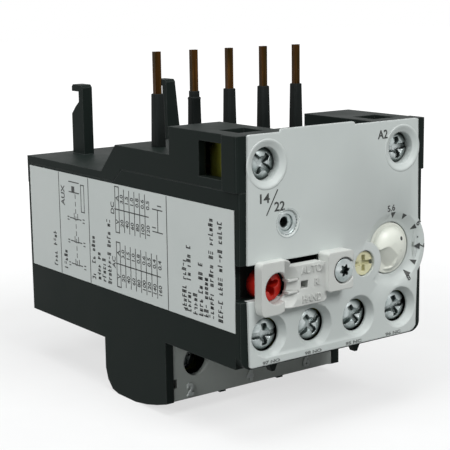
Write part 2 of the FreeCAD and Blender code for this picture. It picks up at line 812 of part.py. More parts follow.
def modeRotor():
    tube = rodY(resetX, resetZ, rotorFront, rotorRear, rotorRadius)
    flangeRear = frameFront - slideGap
    flange = rodY(resetX, resetZ, flangeRear - rotorFlangeThick, flangeRear, rotorFlangeRadius)
    body = joined([tube, flange])
    body = body.cut(rodY(resetX, resetZ, rotorFront - 1, rotorSpringSeat, resetRadius + fitGap))
    half = shankHalf + slideGap
    return body.cut(block(resetX - half, resetX + half, rotorFront, rotorRear + 1, resetZ - half,
                          resetZ + half))


def testButton():
    cap = rodY(testX, testZ, testFront, testShoulder, testRadius)
    stemEnd = frameRear + slideGap
    stem = rodY(testX, testZ, testShoulder, stemEnd + touchGap, testStemRadius)
    head = rodY(testX, testZ, stemEnd, stemEnd + testHeadThick, testHeadRadius)
    body = joined([cap, stem, head])
    back = testFront + testSlotDepth
    body = body.cut(block(testX - testRadius, testX + testRadius, testFront - 1, back, testZ - slotHalf,
                          testZ + slotHalf))
    return body.cut(block(testX - slotHalf, testX + slotHalf, testFront - 1, back, testZ - testRadius / 1.5,
                          testZ + testRadius / 1.5))


def eyelet():
    tube = rodY(eyeletX, eyeletZ, eyeletFront, eyeletRear, eyeletRadius)
    return tube.cut(rodY(eyeletX, eyeletZ, 0, eyeletRear + 1, eyeletBore))


def pinRod(x, foot):
    neck = block(x - pinNeckHalf, x + pinNeckHalf, pinDepth - pinNeckHalf, pinDepth + pinNeckHalf, foot,
                 sleeveTop)
    blade = rodZ(x, pinDepth, sleeveTop, pinTop - pinTipLength, pinRadius)
    tip = coneZ(x, pinDepth, pinTop - pinTipLength, pinTop, pinRadius, pinTipRadius)
    return [neck, blade, tip]


def plugPin(index):
    x = (index - 2) * pinPitch
    if index in (0, 4):
        side = -1 if index == 0 else 1
        tab = terminalTab(side * deckScrewOffset, deckScrewHeight, tabBack, washerHalf, smallShankRadius)
        low = side * (deckScrewOffset + strapOffset)
        strap = block(low - strapHalf, low + strapHalf, tabBack - tabThick, pinDepth + strapHalf,
                      housingFloorTop, housingFloorTop + strapThick)
        foot = block(low - strapHalf, low + strapHalf, tabBack - tabThick, tabBack,
                     housingFloorTop, deckScrewHeight - washerHalf + touchGap)
        return joined(pinRod(x, housingFloorTop) + [strap, foot, tab])
    pole = poles[index - 1]
    low, high = sorted((x, pole))
    bar = block(low - pinBarHalf, high + pinBarHalf, pinDepth - pinBarHalf, pinDepth + pinBarHalf,
                pinBarBottom, pinBarTop)
    return joined(pinRod(x, pinBarBottom) + [bar])


def taperedStud(x, y, z0, z1, radius0, radius1):
    # A many-sided post that narrows upwards
    rings = []
    for z, radius in ((z0, radius0), (z1, radius1)):
        rings.append([vec(x + radius * across, y + radius * along, z) for across,
                      along in unitRing(sleeveSides)])
    return solidBetween(rings)


def spigot(index, z0, z1):
    x = (index - 2) * pinPitch
    return taperedStud(x, pinDepth, z0, z1, sleeveSpigotRadius, sleeveSpigotRadius)


def pinSleeve(index):
    x = (index - 2) * pinPitch
    body = taperedStud(x, pinDepth, middleDeckHeight, sleeveTop, sleeveBaseRadius, sleeveTopRadius)
    post = spigot(index, middleDeckHeight - deckThick, middleDeckHeight)
    bore = block(x - pinNeckHalf, x + pinNeckHalf, pinDepth - pinNeckHalf, pinDepth + pinNeckHalf,
                 middleDeckHeight - 2 * deckThick, sleeveTop + 1)
    return joined([body, post]).cut(bore)


def bimetal(pole):
    return block(pole - bimetalThick / 2, pole + bimetalThick / 2, bimetalDepth - bimetalHalf,
                 bimetalDepth + bimetalHalf,
                 bimetalFoot, pinBarBottom)


def heater(pole):
    # A folded resistance ribbon beside the bimetal, carried down to the load terminal tab
    left = pole - bimetalThick / 2 - ribbonGap - ribbonWide
    right = left + ribbonWide
    pitch = (pinBarBottom - ribbonFoot) / ribbonFolds
    front = bimetalDepth - bimetalHalf
    rear = bimetalDepth + bimetalHalf
    pieces = []
    for i in range(ribbonFolds):
        z = pinBarBottom - pitch * (i + 1)
        y = front if i % 2 == 0 else rear - ribbonThick
        top = z + pitch + (ribbonThick if i > 0 else 0)
        pieces.append(block(left, right, front, rear, z, z + ribbonThick))
        pieces.append(block(left, right, y, y + ribbonThick, z, top))
    pieces.append(block(left, right, rear - ribbonThick, loadTabBack, ribbonFoot, ribbonFoot + ribbonThick))
    pieces.append(block(left, right, loadTabBack - tabThick, loadTabBack,
                        loadScrewHeight + loadShankRadius + 1, ribbonFoot + ribbonThick))
    pieces.append(terminalTab(pole, loadScrewHeight, loadTabBack, loadTabHalf, loadShankRadius))
    return joined(pieces)


def tripSlide():
    bar = block(-innerHalf + 0.3, innerHalf - slideTravel - 0.7, slideDepth, slideDepth + slideThick,
                slideBottom, slideBottom + slideTall)
    pieces = [bar]
    for pole in poles:
        x = pole + bimetalThick / 2 + fingerGap
        pieces.append(block(x, x + fingerThick, bimetalDepth, slideDepth + slideThick / 2,
                            slideBottom + fingerLow, slideBottom + fingerHigh))
    pieces.append(block(lugX, lugX + lugThick, slideDepth - 1, slideDepth + slideThick, slideBottom + 1,
                        lugTop))
    return joined(pieces)


def tripLever():
    hub = rodZ(pivotX, pivotY, leverBottom, leverTop, hubRadius)
    armX = lugX + lugThick + slideGap
    longArm = block(armX, armX + 2 * armHalf, pivotY, pivotY + armLong, leverBottom, leverTop)
    shortArm = block(pivotX - armShort, pivotX, pivotY - armHalf, pivotY + armHalf, leverBottom, leverTop)
    return joined([hub, longArm, shortArm]).cut(rodZ(pivotX, pivotY, leverBottom - 1, leverTop + 1,
                                                     pivotRadius + hingeClear))


def contactCarrier():
    bar = block(-carrierHalf, carrierHalf, carrierFront, carrierRear, carrierBottom, carrierTop)
    tail = block(tailLeft, tailRight, carrierRear - touchGap, tailRear + tailThick, carrierBottom, carrierTop)
    lug = block(tailLeft, tailRight, tailRear, tailRear + tailThick, leverBottom, carrierBottom + touchGap)
    body = joined([bar, tail, lug])
    for middle in (-auxPitch, auxPitch):
        body = body.cut(block(middle - bridgeHalf, middle + bridgeHalf, bridgeFront,
                              bridgeFront + bridgeThick,
                              carrierBottom - 1, bridgeTop))
    return body


def contactBridge(side):
    middle = side * auxPitch
    return block(middle - bridgeHalf, middle + bridgeHalf, bridgeFront, bridgeFront + bridgeThick,
                 bridgeBottom, bridgeTop)


def auxConductor(index):
    x = auxPlaces[index]
    tab = terminalTab(x, auxHeight, tabBack, washerHalf, smallShankRadius)
    if index < 2:
        rear = bridgeFront - touchGap
    else:
        rear = bridgeFront + bridgeThick + contactGap + contactThick
    strip = block(x - stripHalf, x + stripHalf, tabBack - touchGap, rear, stripBottom,
                  stripBottom + stripThick)
    contact = block(x - stripHalf, x + stripHalf, rear - contactThick, rear, stripBottom, contactTop)
    return joined([tab, strip, contact])


def sideLabel():
    return block(-halfModule - labelThick, -halfModule, labelFront, labelRear, labelBottom, labelTop)


def several(makers):
    return Part.makeCompound(makers)


nodes = {
    "base_casing": baseCasing(),
    "top_cover": topCover(),
    "front_cover": frontCover(),
    "load_terminal_cover": loadCover(),
    "setting_dial": settingDial(),
    "setting_cam": settingCam(),
    "index_plate": indexPlate(),
    "plate_screw": plateScrew(),
    "reset_button": resetButton(),
    "mode_rotor": modeRotor(),
    "test_button": testButton(),
    "cover_eyelet": eyelet(),
    "side_label": sideLabel(),
    "reset_spring": helixSpring(resetX, resetZ, rotorFront + slideGap, rotorSpringSeat, resetCoilRadius,
                                springTurns),
    "test_spring": helixSpring(testX, testZ, testShoulder, frameFront, testCoilRadius, springTurns),
    "deck_screws": several([terminalScrew(x, deckScrewHeight, screwRecess,
                                          smallShankRadius) for x in deckPlaces]),
    "deck_clamp_washers": several([clampWasher(x, deckScrewHeight, washerFront, washerHalf, smallShankRadius)
                                   for x in deckPlaces]),
    "aux_screws": several([terminalScrew(x, auxHeight, screwRecess, smallShankRadius) for x in auxPlaces]),
    "aux_clamp_washers": several([clampWasher(x, auxHeight, washerFront, washerHalf, smallShankRadius)
                                  for x in auxPlaces]),
    "load_screws": several([terminalScrew(x, loadScrewHeight, loadHead, loadShankRadius) for x in poles]),
    "load_clamp_washers": several([clampWasher(x, loadScrewHeight, loadHead + screwHeadLength, loadWasherHalf,
                                               loadShankRadius) for x in poles]),
    "trip_slide": tripSlide(),
    "trip_lever": tripLever(),
    "contact_carrier": contactCarrier(),
    "nc_bridge": contactBridge(-1),
    "no_bridge": contactBridge(1),
}
for i in range(5):
    nodes["plug_pin_" + str(i + 1)] = plugPin(i)
    nodes["pin_sleeve_" + str(i + 1)] = pinSleeve(i)
for i, pole in enumerate(poles):
    nodes["bimetal_strip_" + str(i + 1)] = bimetal(pole)
    nodes["heater_conductor_" + str(i + 1)] = heater(pole)
for i in range(4):
    nodes["aux_conductor_" + str(i + 1)] = auxConductor(i)
for name, shape in nodes.items():
    save(name, shape)
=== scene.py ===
import json
import math
import bmesh
import bpy
import numpy as np
from mathutils import Matrix, Vector


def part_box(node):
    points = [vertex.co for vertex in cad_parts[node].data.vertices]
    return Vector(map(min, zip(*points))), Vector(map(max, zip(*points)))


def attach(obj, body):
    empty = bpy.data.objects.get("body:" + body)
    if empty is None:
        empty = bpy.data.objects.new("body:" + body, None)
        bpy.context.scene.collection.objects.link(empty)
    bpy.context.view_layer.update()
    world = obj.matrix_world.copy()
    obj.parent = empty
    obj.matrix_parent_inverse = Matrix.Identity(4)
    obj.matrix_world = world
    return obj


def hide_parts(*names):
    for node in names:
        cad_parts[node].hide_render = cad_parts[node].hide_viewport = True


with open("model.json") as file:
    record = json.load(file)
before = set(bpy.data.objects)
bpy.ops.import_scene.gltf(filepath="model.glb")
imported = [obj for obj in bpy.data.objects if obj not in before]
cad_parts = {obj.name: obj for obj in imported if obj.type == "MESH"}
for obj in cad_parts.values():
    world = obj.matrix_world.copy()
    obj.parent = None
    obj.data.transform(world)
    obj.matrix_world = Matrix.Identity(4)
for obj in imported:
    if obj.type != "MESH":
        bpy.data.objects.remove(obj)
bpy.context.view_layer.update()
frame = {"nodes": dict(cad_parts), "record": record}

print("frame in:", len(frame["nodes"]), "nodes")

# Module place: x from the middle, depth behind the front cover's face, height above its lower edge, in mm
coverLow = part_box("front_cover")[0]
moduleStart = np.array([0.0, coverLow.y, coverLow.z])


def place(x, depth, height):
    return moduleStart + np.array([x, depth, height]) / 1000.0


# Materials

# What the plastics share, which a finish may change
plasticBase = dict(grain=4200, grainDepth=0.05, rough=(0.40, 0.52), edge=0.0002, edgeHighlightMix=0.5, gloss=0.4)
# Each finish's edge tint is a painted highlight: a lighter colour mixed in on its rounded edges
finishes = {
    "casingBlack": dict(colour=(0.0068, 0.0106, 0.0092), other=(0.0108, 0.0152, 0.0138), mottle=90,
                        edgeHighlightTint=(0.085, 0.095, 0.092), edge=0.00028, edgeHighlightMix=0.6, grain=5200,
                        grainDepth=0.10, rough=(0.46, 0.60), gloss=0.05),
    "coverGrey": dict(colour=(0.50, 0.545, 0.53), other=(0.545, 0.585, 0.57), mottle=45,
                      edgeHighlightTint=(0.66, 0.69, 0.68), edge=0.00035),
    # Dark colour for the raised lip marks: painted shade, the marks being moulded in the cover's own plastic
    "mouldShade": dict(colour=(0.12, 0.13, 0.125), other=(0.20, 0.215, 0.21), mottle=700,
                       edgeHighlightTint=(0.3, 0.32, 0.31)),
    # The load cover's grey is a darker copy of the cover grey: painted shade for its place under the front's
    # overhang
    "coverGreyInShade": dict(colour=(0.35, 0.385, 0.36), other=(0.42, 0.455, 0.43), mottle=60,
                      edgeHighlightTint=(0.55, 0.58, 0.56), edge=0.00035),
    "plateGrey": dict(colour=(0.49, 0.51, 0.49), other=(0.54, 0.56, 0.535), mottle=160,
                      edgeHighlightTint=(0.72, 0.72, 0.70), edge=0.00035, rough=(0.38, 0.50)),
    "labelVinyl": dict(colour=(0.51, 0.555, 0.54), other=(0.55, 0.59, 0.575), mottle=60,
                       edgeHighlightTint=(0.6, 0.64, 0.62), edge=0.0001, edgeHighlightMix=0.4, grain=2400, grainDepth=0.03,
                       rough=(0.34, 0.46)),
    "dialCream": dict(colour=(0.66, 0.69, 0.62), other=(0.72, 0.74, 0.67), mottle=220,
                      edgeHighlightTint=(0.82, 0.84, 0.78), edge=0.0003, grain=3600, grainDepth=0.03,
                      rough=(0.26, 0.38)),
    "buttonCream": dict(colour=(0.60, 0.585, 0.36), other=(0.68, 0.66, 0.44), mottle=400,
                        edgeHighlightTint=(0.78, 0.76, 0.58), grain=3600, rough=(0.28, 0.42)),
    "buttonRed": dict(colour=(0.42, 0.012, 0.007), other=(0.52, 0.020, 0.012), mottle=260,
                      edgeHighlightTint=(0.55, 0.08, 0.06), grain=3200, rough=(0.30, 0.42)),
    "innerPlastic": dict(colour=(0.42, 0.40, 0.34), other=(0.48, 0.46, 0.39), mottle=180,
                         edgeHighlightTint=(0.6, 0.58, 0.5), edgeHighlightMix=0.4, grain=2600, grainDepth=0.08,
                         rough=(0.45, 0.6)),
    "sleeveBlack": dict(colour=(0.0065, 0.0082, 0.0078), other=(0.011, 0.0135, 0.0128), mottle=120,
                        edgeHighlightTint=(0.05, 0.055, 0.054), grainDepth=0.08, rough=(0.42, 0.56), gloss=0.05),
    "ink": dict(colour=(0.018, 0.021, 0.020), other=(0.034, 0.037, 0.035), mottle=900,
                edgeHighlightTint=(0.08, 0.08, 0.08), edge=0.00002, edgeHighlightMix=0.3, grain=6000, grainDepth=0.04,
                rough=(0.45, 0.6)),
}

metalBase = dict(stretch=(1, 1, 1), scratchDepth=0.2, edge=0.00012)
metals = {
    # The zinc's darker recess colour is painted shade, laid in its slots and hollows
    "zinc": dict(colour=(0.52, 0.56, 0.56), other=(0.24, 0.28, 0.275), mottle=520, scratch=2600,
                 scratchDepth=0.22, rough=(0.20, 0.44), recessShade=(0.030, 0.042, 0.038)),
    "yellowZinc": dict(colour=(0.26, 0.25, 0.03), other=(0.07, 0.09, 0.02), mottle=260, scratch=2200,
                       rough=(0.26, 0.48)),
    "copper": dict(colour=(0.058, 0.022, 0.005), other=(0.016, 0.012, 0.003), mottle=380, scratch=2400,
                   scratchDepth=0.3, stretch=(1, 1, 0.16), rough=(0.30, 0.55), edge=0.00015),
    "brass": dict(colour=(0.62, 0.46, 0.18), other=(0.45, 0.32, 0.12), mottle=300, scratch=1800,
                  stretch=(1, 1, 0.4), rough=(0.24, 0.42), edge=0.0001),
    "springSteel": dict(colour=(0.50, 0.50, 0.50), other=(0.34, 0.34, 0.35), mottle=700, scratch=3000,
                        scratchDepth=0.15, rough=(0.22, 0.38), edge=0.00005),
}

bumpReach = dict(grain=0.00005, scratch=0.00004)
# Reach and fade of the painted shade in a metal's recesses
recessShadeLook = dict(reach=0.0016, low=0.35, high=0.85)
edgeHighlightReach = (0.80, 0.995)  # dot products between which an edge goes from the full painted highlight to none


def newMaterial(name):
    material = bpy.data.materials.new(name)
    material.use_nodes = True
    tree = material.node_tree
    shader = tree.nodes["Principled BSDF"]
    return material, tree, shader


def fillNode(tree, node, values):
    # A socket is linked to the input of that name or number, and any other value is set on the node
    for key, value in values.items():
        if isinstance(value, bpy.types.NodeSocket):
            tree.links.new(value, node.inputs[key])
        elif isinstance(key, str) and hasattr(node, key):
            setattr(node, key, value)
        else:
            node.inputs[key].default_value = value
    return node


def addNode(tree, kind, **values):
    return fillNode(tree, tree.nodes.new(kind), values)


def mathNode(tree, operation, first, second):
    node = addNode(tree, "ShaderNodeMath", operation=operation)
    return fillNode(tree, node, {0: first, 1: second}).outputs[0]


def objectPattern(tree, scale, detail=4.0, stretch=(1, 1, 1), rough=0.55):
    # Noise read from object coordinates, stretched by a Mapping node
    spot = addNode(tree, "ShaderNodeTexCoord").outputs["Object"]
    spot = addNode(tree, "ShaderNodeMapping", Scale=stretch, Vector=spot).outputs["Vector"]
    noise = addNode(tree, "ShaderNodeTexNoise", Scale=scale, Detail=detail, Roughness=rough, Vector=spot)
    return noise.outputs["Fac"]


def ramp(tree, source, low, high, fromLow=0.3, fromHigh=0.7):
    values = {"From Min": fromLow, "From Max": fromHigh, "To Min": low, "To Max": high, "Value": source}
    return addNode(tree, "ShaderNodeMapRange", **values).outputs["Result"]


def mixColour(tree, factor, first, second):
    # The Mix node takes its colours at sockets 6 and 7, and gives the mixed colour at socket 2
    first, second = ((*value, 1.0) if isinstance(value, tuple) else value for value in (first, second))
    node = addNode(tree, "ShaderNodeMix", data_type="RGBA")
    return fillNode(tree, node, {0: factor, 6: first, 7: second}).outputs[2]


def roundedNormal(tree, radius):
    return addNode(tree, "ShaderNodeBevel", samples=4, Radius=radius).outputs["Normal"]


def edgeMask(tree, normal):
    # 0 on a flat, 1 where the rounded normal turns away from the true one
    trueNormal = addNode(tree, "ShaderNodeNewGeometry").outputs["Normal"]
    dot = addNode(tree, "ShaderNodeVectorMath", operation="DOT_PRODUCT")
    fillNode(tree, dot, {0: normal, 1: trueNormal})
    return ramp(tree, dot.outputs["Value"], 1.0, 0.0, *edgeHighlightReach)


def bump(tree, height, strength, distance, normal):
    node = addNode(tree, "ShaderNodeBump", Strength=strength, Distance=distance, Height=height, Normal=normal)
    return node.outputs["Normal"]


def plastic(name, look):
    material, tree, shader = newMaterial(name)
    mottle = objectPattern(tree, look["mottle"])
    grain = objectPattern(tree, look["grain"], detail=2.0)
    rounded = roundedNormal(tree, look["edge"])
    # Painted highlight: rounded edges are lightened towards the finish's edge tint
    paintedEdgeHighlight = mathNode(tree, "MULTIPLY", edgeMask(tree, rounded), look["edgeHighlightMix"])
    body = mixColour(tree, ramp(tree, mottle, 0.0, 1.0), look["colour"], look["other"])
    fillNode(tree, shader, {
        "Base Color": mixColour(tree, paintedEdgeHighlight, body, look["edgeHighlightTint"]),
        "Roughness": ramp(tree, mottle, *look["rough"]),
        "Normal": bump(tree, grain, look["grainDepth"], bumpReach["grain"], rounded),
        "Specular IOR Level": look["gloss"],
    })
    return material


def metal(name, look):
    material, tree, shader = newMaterial(name)
    mottle = objectPattern(tree, look["mottle"], detail=5.0, stretch=look["stretch"])
    scratch = objectPattern(tree, look["scratch"], detail=2.0, stretch=look["stretch"])
    rounded = roundedNormal(tree, look["edge"])
    colour = mixColour(tree, ramp(tree, mottle, 0.0, 1.0), look["colour"], look["other"])
    if "recessShade" in look:
        # Painted shade: the colour darkens where the surface is shut in
        shut = addNode(tree, "ShaderNodeAmbientOcclusion", samples=8, Distance=recessShadeLook["reach"])
        clear = ramp(tree, shut.outputs["AO"], 0.0, 1.0, recessShadeLook["low"], recessShadeLook["high"])
        colour = mixColour(tree, clear, look["recessShade"], colour)
    fillNode(tree, shader, {
        "Base Color": colour,
        "Roughness": ramp(tree, mottle, *look["rough"]),
        "Normal": bump(tree, scratch, look["scratchDepth"], bumpReach["scratch"], rounded),
        "Metallic": 1.0,
    })
    return material


materials = {name: plastic(name, {**plasticBase, **look}) for name, look in finishes.items()}
materials.update({name: metal(name, {**metalBase, **look}) for name, look in metals.items()})

finishOfSlot = {
    "casing_black": "casingBlack", "cover_grey": "coverGrey", "label_grey": "labelVinyl",
    "dial_cream": "dialCream", "button_cream": "buttonCream", "button_red": "buttonRed",
    "inner_plastic": "innerPlastic", "copper": "copper", "zinc": "zinc", "yellow_zinc": "yellowZinc",
    "spring_steel": "springSteel", "bimetal": "springSteel", "bright_brass": "brass",
}
# The load cover takes the darker copy of the cover grey, a painted shade
finishOfNode = {"index_plate": "plateGrey", "load_terminal_cover": "coverGreyInShade"}
for part in frame["record"]["subparts"]:
    finish = finishOfNode.get(part["node"], finishOfSlot[part["material_slot"]])
    mesh = frame["nodes"][part["node"]].data
    mesh.materials.clear()
    mesh.materials.append(materials[finish])

# Shared makers for the dressing pieces

halfModule = 22.5  # mm from the middle to the casing's side, where the label lies
weldDistance = 1e-7
# Angles in degrees beyond which an edge stays sharp, where 0 keeps a piece flat shaded
creases = dict(flat=0, copy=18, letters=20, sheet=30, piece=32, round=40)
rng = np.random.default_rng(7)


def fullTurn(count):
    return np.linspace(0, 2 * np.pi, count, endpoint=False)


def frontCircle(turns):
    # Unit circle seen from the front
    return np.stack([np.cos(turns), np.zeros_like(turns), np.sin(turns)], axis=-1)


def tidyMesh(mesh):
    # Joins the seam, turns every face outwards
    work = bmesh.new()
    work.from_mesh(mesh)
    bmesh.ops.remove_doubles(work, verts=work.verts, dist=weldDistance)
    bmesh.ops.recalc_face_normals(work, faces=work.faces)
    work.to_mesh(mesh)
    work.free()


def addObject(name, data):
    added = bpy.data.objects.new(name, data)
    bpy.context.scene.collection.objects.link(added)
    return added


def newPiece(name, mesh, finish, body, crease=creases["piece"], stands=()):
    mesh.name = name
    mesh.materials.clear()
    mesh.materials.append(materials[finish])
    if crease:
        mesh.shade_smooth()
        mesh.set_sharp_from_angle(angle=math.radians(crease))
    piece = addObject(name, mesh)
    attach(piece, body)
    if stands:
        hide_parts(*stands)
    return piece


def meshFrom(points, faces, name="draft"):
    mesh = bpy.data.meshes.new(name)
    mesh.from_pydata(np.reshape(points, (-1, 3)).tolist(), [], faces)
    mesh.update()
    return mesh


def ringsMesh(rings):
    # Quads between neighbouring closed rings, the first and last ring closed by a fan
    count, around = rings.shape[:2]
    index = np.arange(count * around).reshape(count, around)
    after = np.roll(index, -1, axis=1)
    quads = np.stack([index[:-1], after[:-1], after[1:], index[1:]], axis=-1).reshape(-1, 4)
    points = np.concatenate([rings.reshape(-1, 3), rings[:1].mean(axis=1), rings[-1:].mean(axis=1)])
    start, end = count * around, count * around + 1
    triangles = np.concatenate([np.column_stack([np.full(around, hub), after[row], index[row]])
                                for hub, row in ((start, 0), (end, -1))])
    return meshFrom(points, quads.tolist() + triangles.tolist())


def meshPoints(mesh):
    flat = np.empty(len(mesh.vertices) * 3)
    mesh.vertices.foreach_get("co", flat)
    return flat.reshape(-1, 3)


def joinMeshes(meshes):
    work = bmesh.new()
    for mesh in meshes:
        work.from_mesh(mesh)
        bpy.data.meshes.remove(mesh)
    joined = bpy.data.meshes.new("draft")
    work.to_mesh(joined)
    work.free()
    return joined


def boxesMesh(lows, highs):
    # One closed box per row, from its low corner to its high corner
    lows, highs = np.atleast_2d(lows), np.atleast_2d(highs)
    pick = np.array([[0, 0, 0], [1, 0, 0], [1, 1, 0], [0, 1, 0], [0, 0, 1], [1, 0, 1], [1, 1, 1], [0, 1, 1]])
    points = np.where(pick[None] == 0, lows[:, None], highs[:, None])
    sides = np.array([[0, 3, 2, 1], [4, 5, 6, 7], [0, 1, 5, 4], [1, 2, 6, 5], [2, 3, 7, 6], [3, 0, 4, 7]])
    faces = sides[None] + 8 * np.arange(len(lows))[:, None, None]
    return meshFrom(points, faces.reshape(-1, 4).tolist())


def textMesh(words, lift, matrix, fit=None, height=None, weight=0.02):
    # Letters laid flat, made bolder by the weight, made solid, scaled to a height or a box, then placed
    curve = bpy.data.curves.new("words", "FONT")
    curve.body = words
    curve.extrude = 0.5  # one unit thick, which the lift then scales
    curve.offset = weight
    curve.resolution_u = 4
    holder = bpy.data.objects.new("words", curve)
    mesh = bpy.data.meshes.new_from_object(holder)
    bpy.data.objects.remove(holder)
    bpy.data.curves.remove(curve)
    corners = meshPoints(mesh)
    low, high = corners.min(axis=0), corners.max(axis=0)
    span = high - low
    scale = np.array(fit) / span[:2] if fit else np.full(2, height / span[1])
    flat = (corners[:, :2] - (low[:2] + high[:2]) / 2) * scale
    laid = np.column_stack([flat, (corners[:, 2] + 0.5) * lift])
    mesh.vertices.foreach_set("co", (laid / 1000.0).ravel())
    mesh.transform(matrix)
    return mesh


def frontPlace(x, depth, height, turn=0.0):
    # Letters that face the operator, turned counter-clockwise in the picture plane
    cos, sin = math.cos(math.radians(turn)), math.sin(math.radians(turn))
    matrix = Matrix(((cos, -sin, 0), (0, 0, -1), (sin, cos, 0))).to_4x4()
    matrix.translation = Vector(place(x, depth, height))
    return matrix


def labelPlace(depth, height):
    # Letters on the left side that are read from below upwards
    matrix = Matrix(((0, 0, -1), (0, 1, 0), (1, 0, 0))).to_4x4()
    matrix.translation = Vector(place(-halfModule - labelLook["proud"], depth, height))
    return matrix


def loopFaces(count, around):
    # Quads of a ring of rings: each ring joins the next one, and the last joins the first
    index = np.arange(count * around).reshape(count, around)
    after = np.roll(index, -1, axis=1)
    corners = [index, after, np.roll(after, -1, axis=0), np.roll(index, -1, axis=0)]
    return np.stack(corners, axis=-1).reshape(-1, 4).tolist()


def turnedMesh(profile, centre, around=72):
    # A closed loop of radius and depth pairs, in mm, turned about an axis that points at the operator
    profile = np.array(profile)
    turns = fullTurn(around)
    points = np.stack([profile[:, :1] * np.cos(turns), profile[:, 1:] * np.ones_like(turns),
                       profile[:, :1] * np.sin(turns)], axis=-1) / 1000.0 + centre
    return meshFrom(points, loopFaces(len(profile), around))


def reshapedCopy(node, name, finish, body, move):
    # The node's merged surface with some points moved; move takes and gives mm from the module's start
    mesh = frame["nodes"][node].data.copy()
    points = (meshPoints(mesh) - moduleStart) * 1000.0
    mesh.vertices.foreach_set("co", (move(points) / 1000.0 + moduleStart).ravel())
    tidyMesh(mesh)
    return newPiece(name, mesh, finish, body, creases["copy"], (node,))


def nodeBox(node):
    return [np.array(corner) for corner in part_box(node)]


def middleOf(node):
    # Middle of a node seen from the front, in mm across and up
    low, high = nodeBox(node)
    middle = ((low + high) / 2 - moduleStart) * 1000.0
    return middle[0], middle[2]


def screwSpots(node, count):
    # Middles of a row of equal round heads seen from the front, in mm across
    low, high = nodeBox(node)
    radius = (high[2] - low[2]) / 2
    return np.linspace(low[0] + radius, high[0] - radius, count) * 1000.0


dialX, dialZ = middleOf("setting_dial")
dish = dict(radius=7.5, floorRadius=5.3, floor=1.3)  # the dial's sunken surround, mm


def dishDepth(spread):
    # Depth of the sloping dish wall at a distance from the dial's middle
    slope = dish["floor"] / (dish["radius"] - dish["floorRadius"])
    return np.clip((dish["radius"] - spread) * slope, 0, dish["floor"])


# Cover and index plate: the CAD pieces with deeper funnels and trimmed edges

coverTrim = dict(funnelOld=0.9, funnelNew=1.3, funnelReach=3.4, dimpleOld=0.6, dimpleNew=1.4, dimpleReach=1.8,
                 near=0.03, side=20.75, earHalf=8.6)


def deepened(across, depth, height, middle, reach, old, new):
    # Points of a round floor, known by its middle, reach and old depth, go to the new depth
    floor = np.hypot(across - middle[0], height - middle[1]) < reach
    floor &= np.abs(depth - old) < coverTrim["near"]
    return np.where(floor, new, depth)


def coverMove(points):
    # Funnel floors and the dimple's floor go deeper, the side edges come in away from the dial's ear
    across, depth, height = points.T.copy()
    auxHeight = middleOf("aux_screws")[1]
    for spot in screwSpots("aux_screws", 4):
        depth = deepened(across, depth, height, (spot, auxHeight), coverTrim["funnelReach"],
                         coverTrim["funnelOld"], coverTrim["funnelNew"])
    depth = deepened(across, depth, height, middleOf("cover_eyelet"), coverTrim["dimpleReach"],
                     coverTrim["dimpleOld"], coverTrim["dimpleNew"])
    away = np.abs(height - dialZ) > coverTrim["earHalf"]
    trimmed = np.clip(across, -coverTrim["side"], coverTrim["side"])
    return np.column_stack([np.where(away, trimmed, across), depth, height])


reshapedCopy("front_cover", "coverSkin", "coverGrey", "housing", coverMove)

flagTrim = dict(edge=1.8, shift=1.0, holeReach=3.0)


def flagMove(points):
    # The plate's left end is drawn in, evenly from the hole's side to the end
    resetX = middleOf("reset_button")[0]
    beyond = np.clip((resetX - flagTrim["holeReach"] - points[:, 0]) / flagTrim["edge"], 0, 1)
    return points + beyond[:, None] * [flagTrim["shift"], 0, 0]


reshapedCopy("index_plate", "indexFlag", "plateGrey", "housing", flagMove)

# A thin lens of cover plastic where the dial's dish would cut through to the casing's side wall
lensLook = dict(start=20.3, step=0.3, outer=6.9, turn=27, front=0.44, thick=0.06, inset=0.02, around=40)


def buildDishLens(look):
    # From an upright chord the patch steps on to the dish's slope, then follows it out to an arc
    turns = np.radians(np.linspace(-look["turn"], look["turn"], look["around"]))[:, None]
    inner = np.minimum((look["start"] - dialX) / np.cos(turns), look["outer"] - look["step"] - look["inset"])
    edge = np.full_like(inner, look["outer"])
    spread = np.concatenate([inner, inner + look["step"], edge, edge, inner + look["step"], inner], axis=1)
    depth = np.minimum(dishDepth(spread), look["front"])
    depth[:, [0, 5]] = dishDepth(inner) - look["inset"]
    depth[:, 3:] += look["thick"]
    rings = np.stack([dialX + spread * np.cos(turns), depth, dialZ + spread * np.sin(turns)], axis=-1)
    mesh = ringsMesh(rings / 1000.0 + moduleStart)
    tidyMesh(mesh)
    newPiece("dishLens", mesh, "coverGrey", "housing")


buildDishLens(lensLook)
print("cover and plate made")


# Terminal screws: domed heads with a full slot crossed by a tapered arm

screwLook = dict(dome=0.75, domePower=2.4, headLength=2.0, slotHalf=0.52, slotDepth=1.15, armHalf=0.52,
                 armReach=2.0, armDepth=1.55, armSlope=0.3, blur=0.14, hub=1.35, hubDepth=1.7, hubSlope=1.1,
                 rim=0.15, frontRings=36, around=120, pitch=0.7, threadRise=0.10, threadRings=60,
                 threadGap=0.05, tip=0.02, web=0.03)
screwSets = {
    "auxScrewSet": dict(node="aux_screws", shank=1.5, sink=0.6, turns=(2, 34, 27, 12)),
    "deckScrewSet": dict(node="deck_screws", shank=1.5, sink=0.6, turns=(-40, 8)),
    "loadScrewSet": dict(node="load_screws", shank=2.0, sink=1.0, turns=(10, -24, 38)),
}


def softEdge(distance, blur):
    # 1 well inside, 0 well outside, a smooth cubic step of the given width between
    t = np.clip(0.5 - distance / blur, 0.0, 1.0)
    return t * t * (3 - 2 * t)


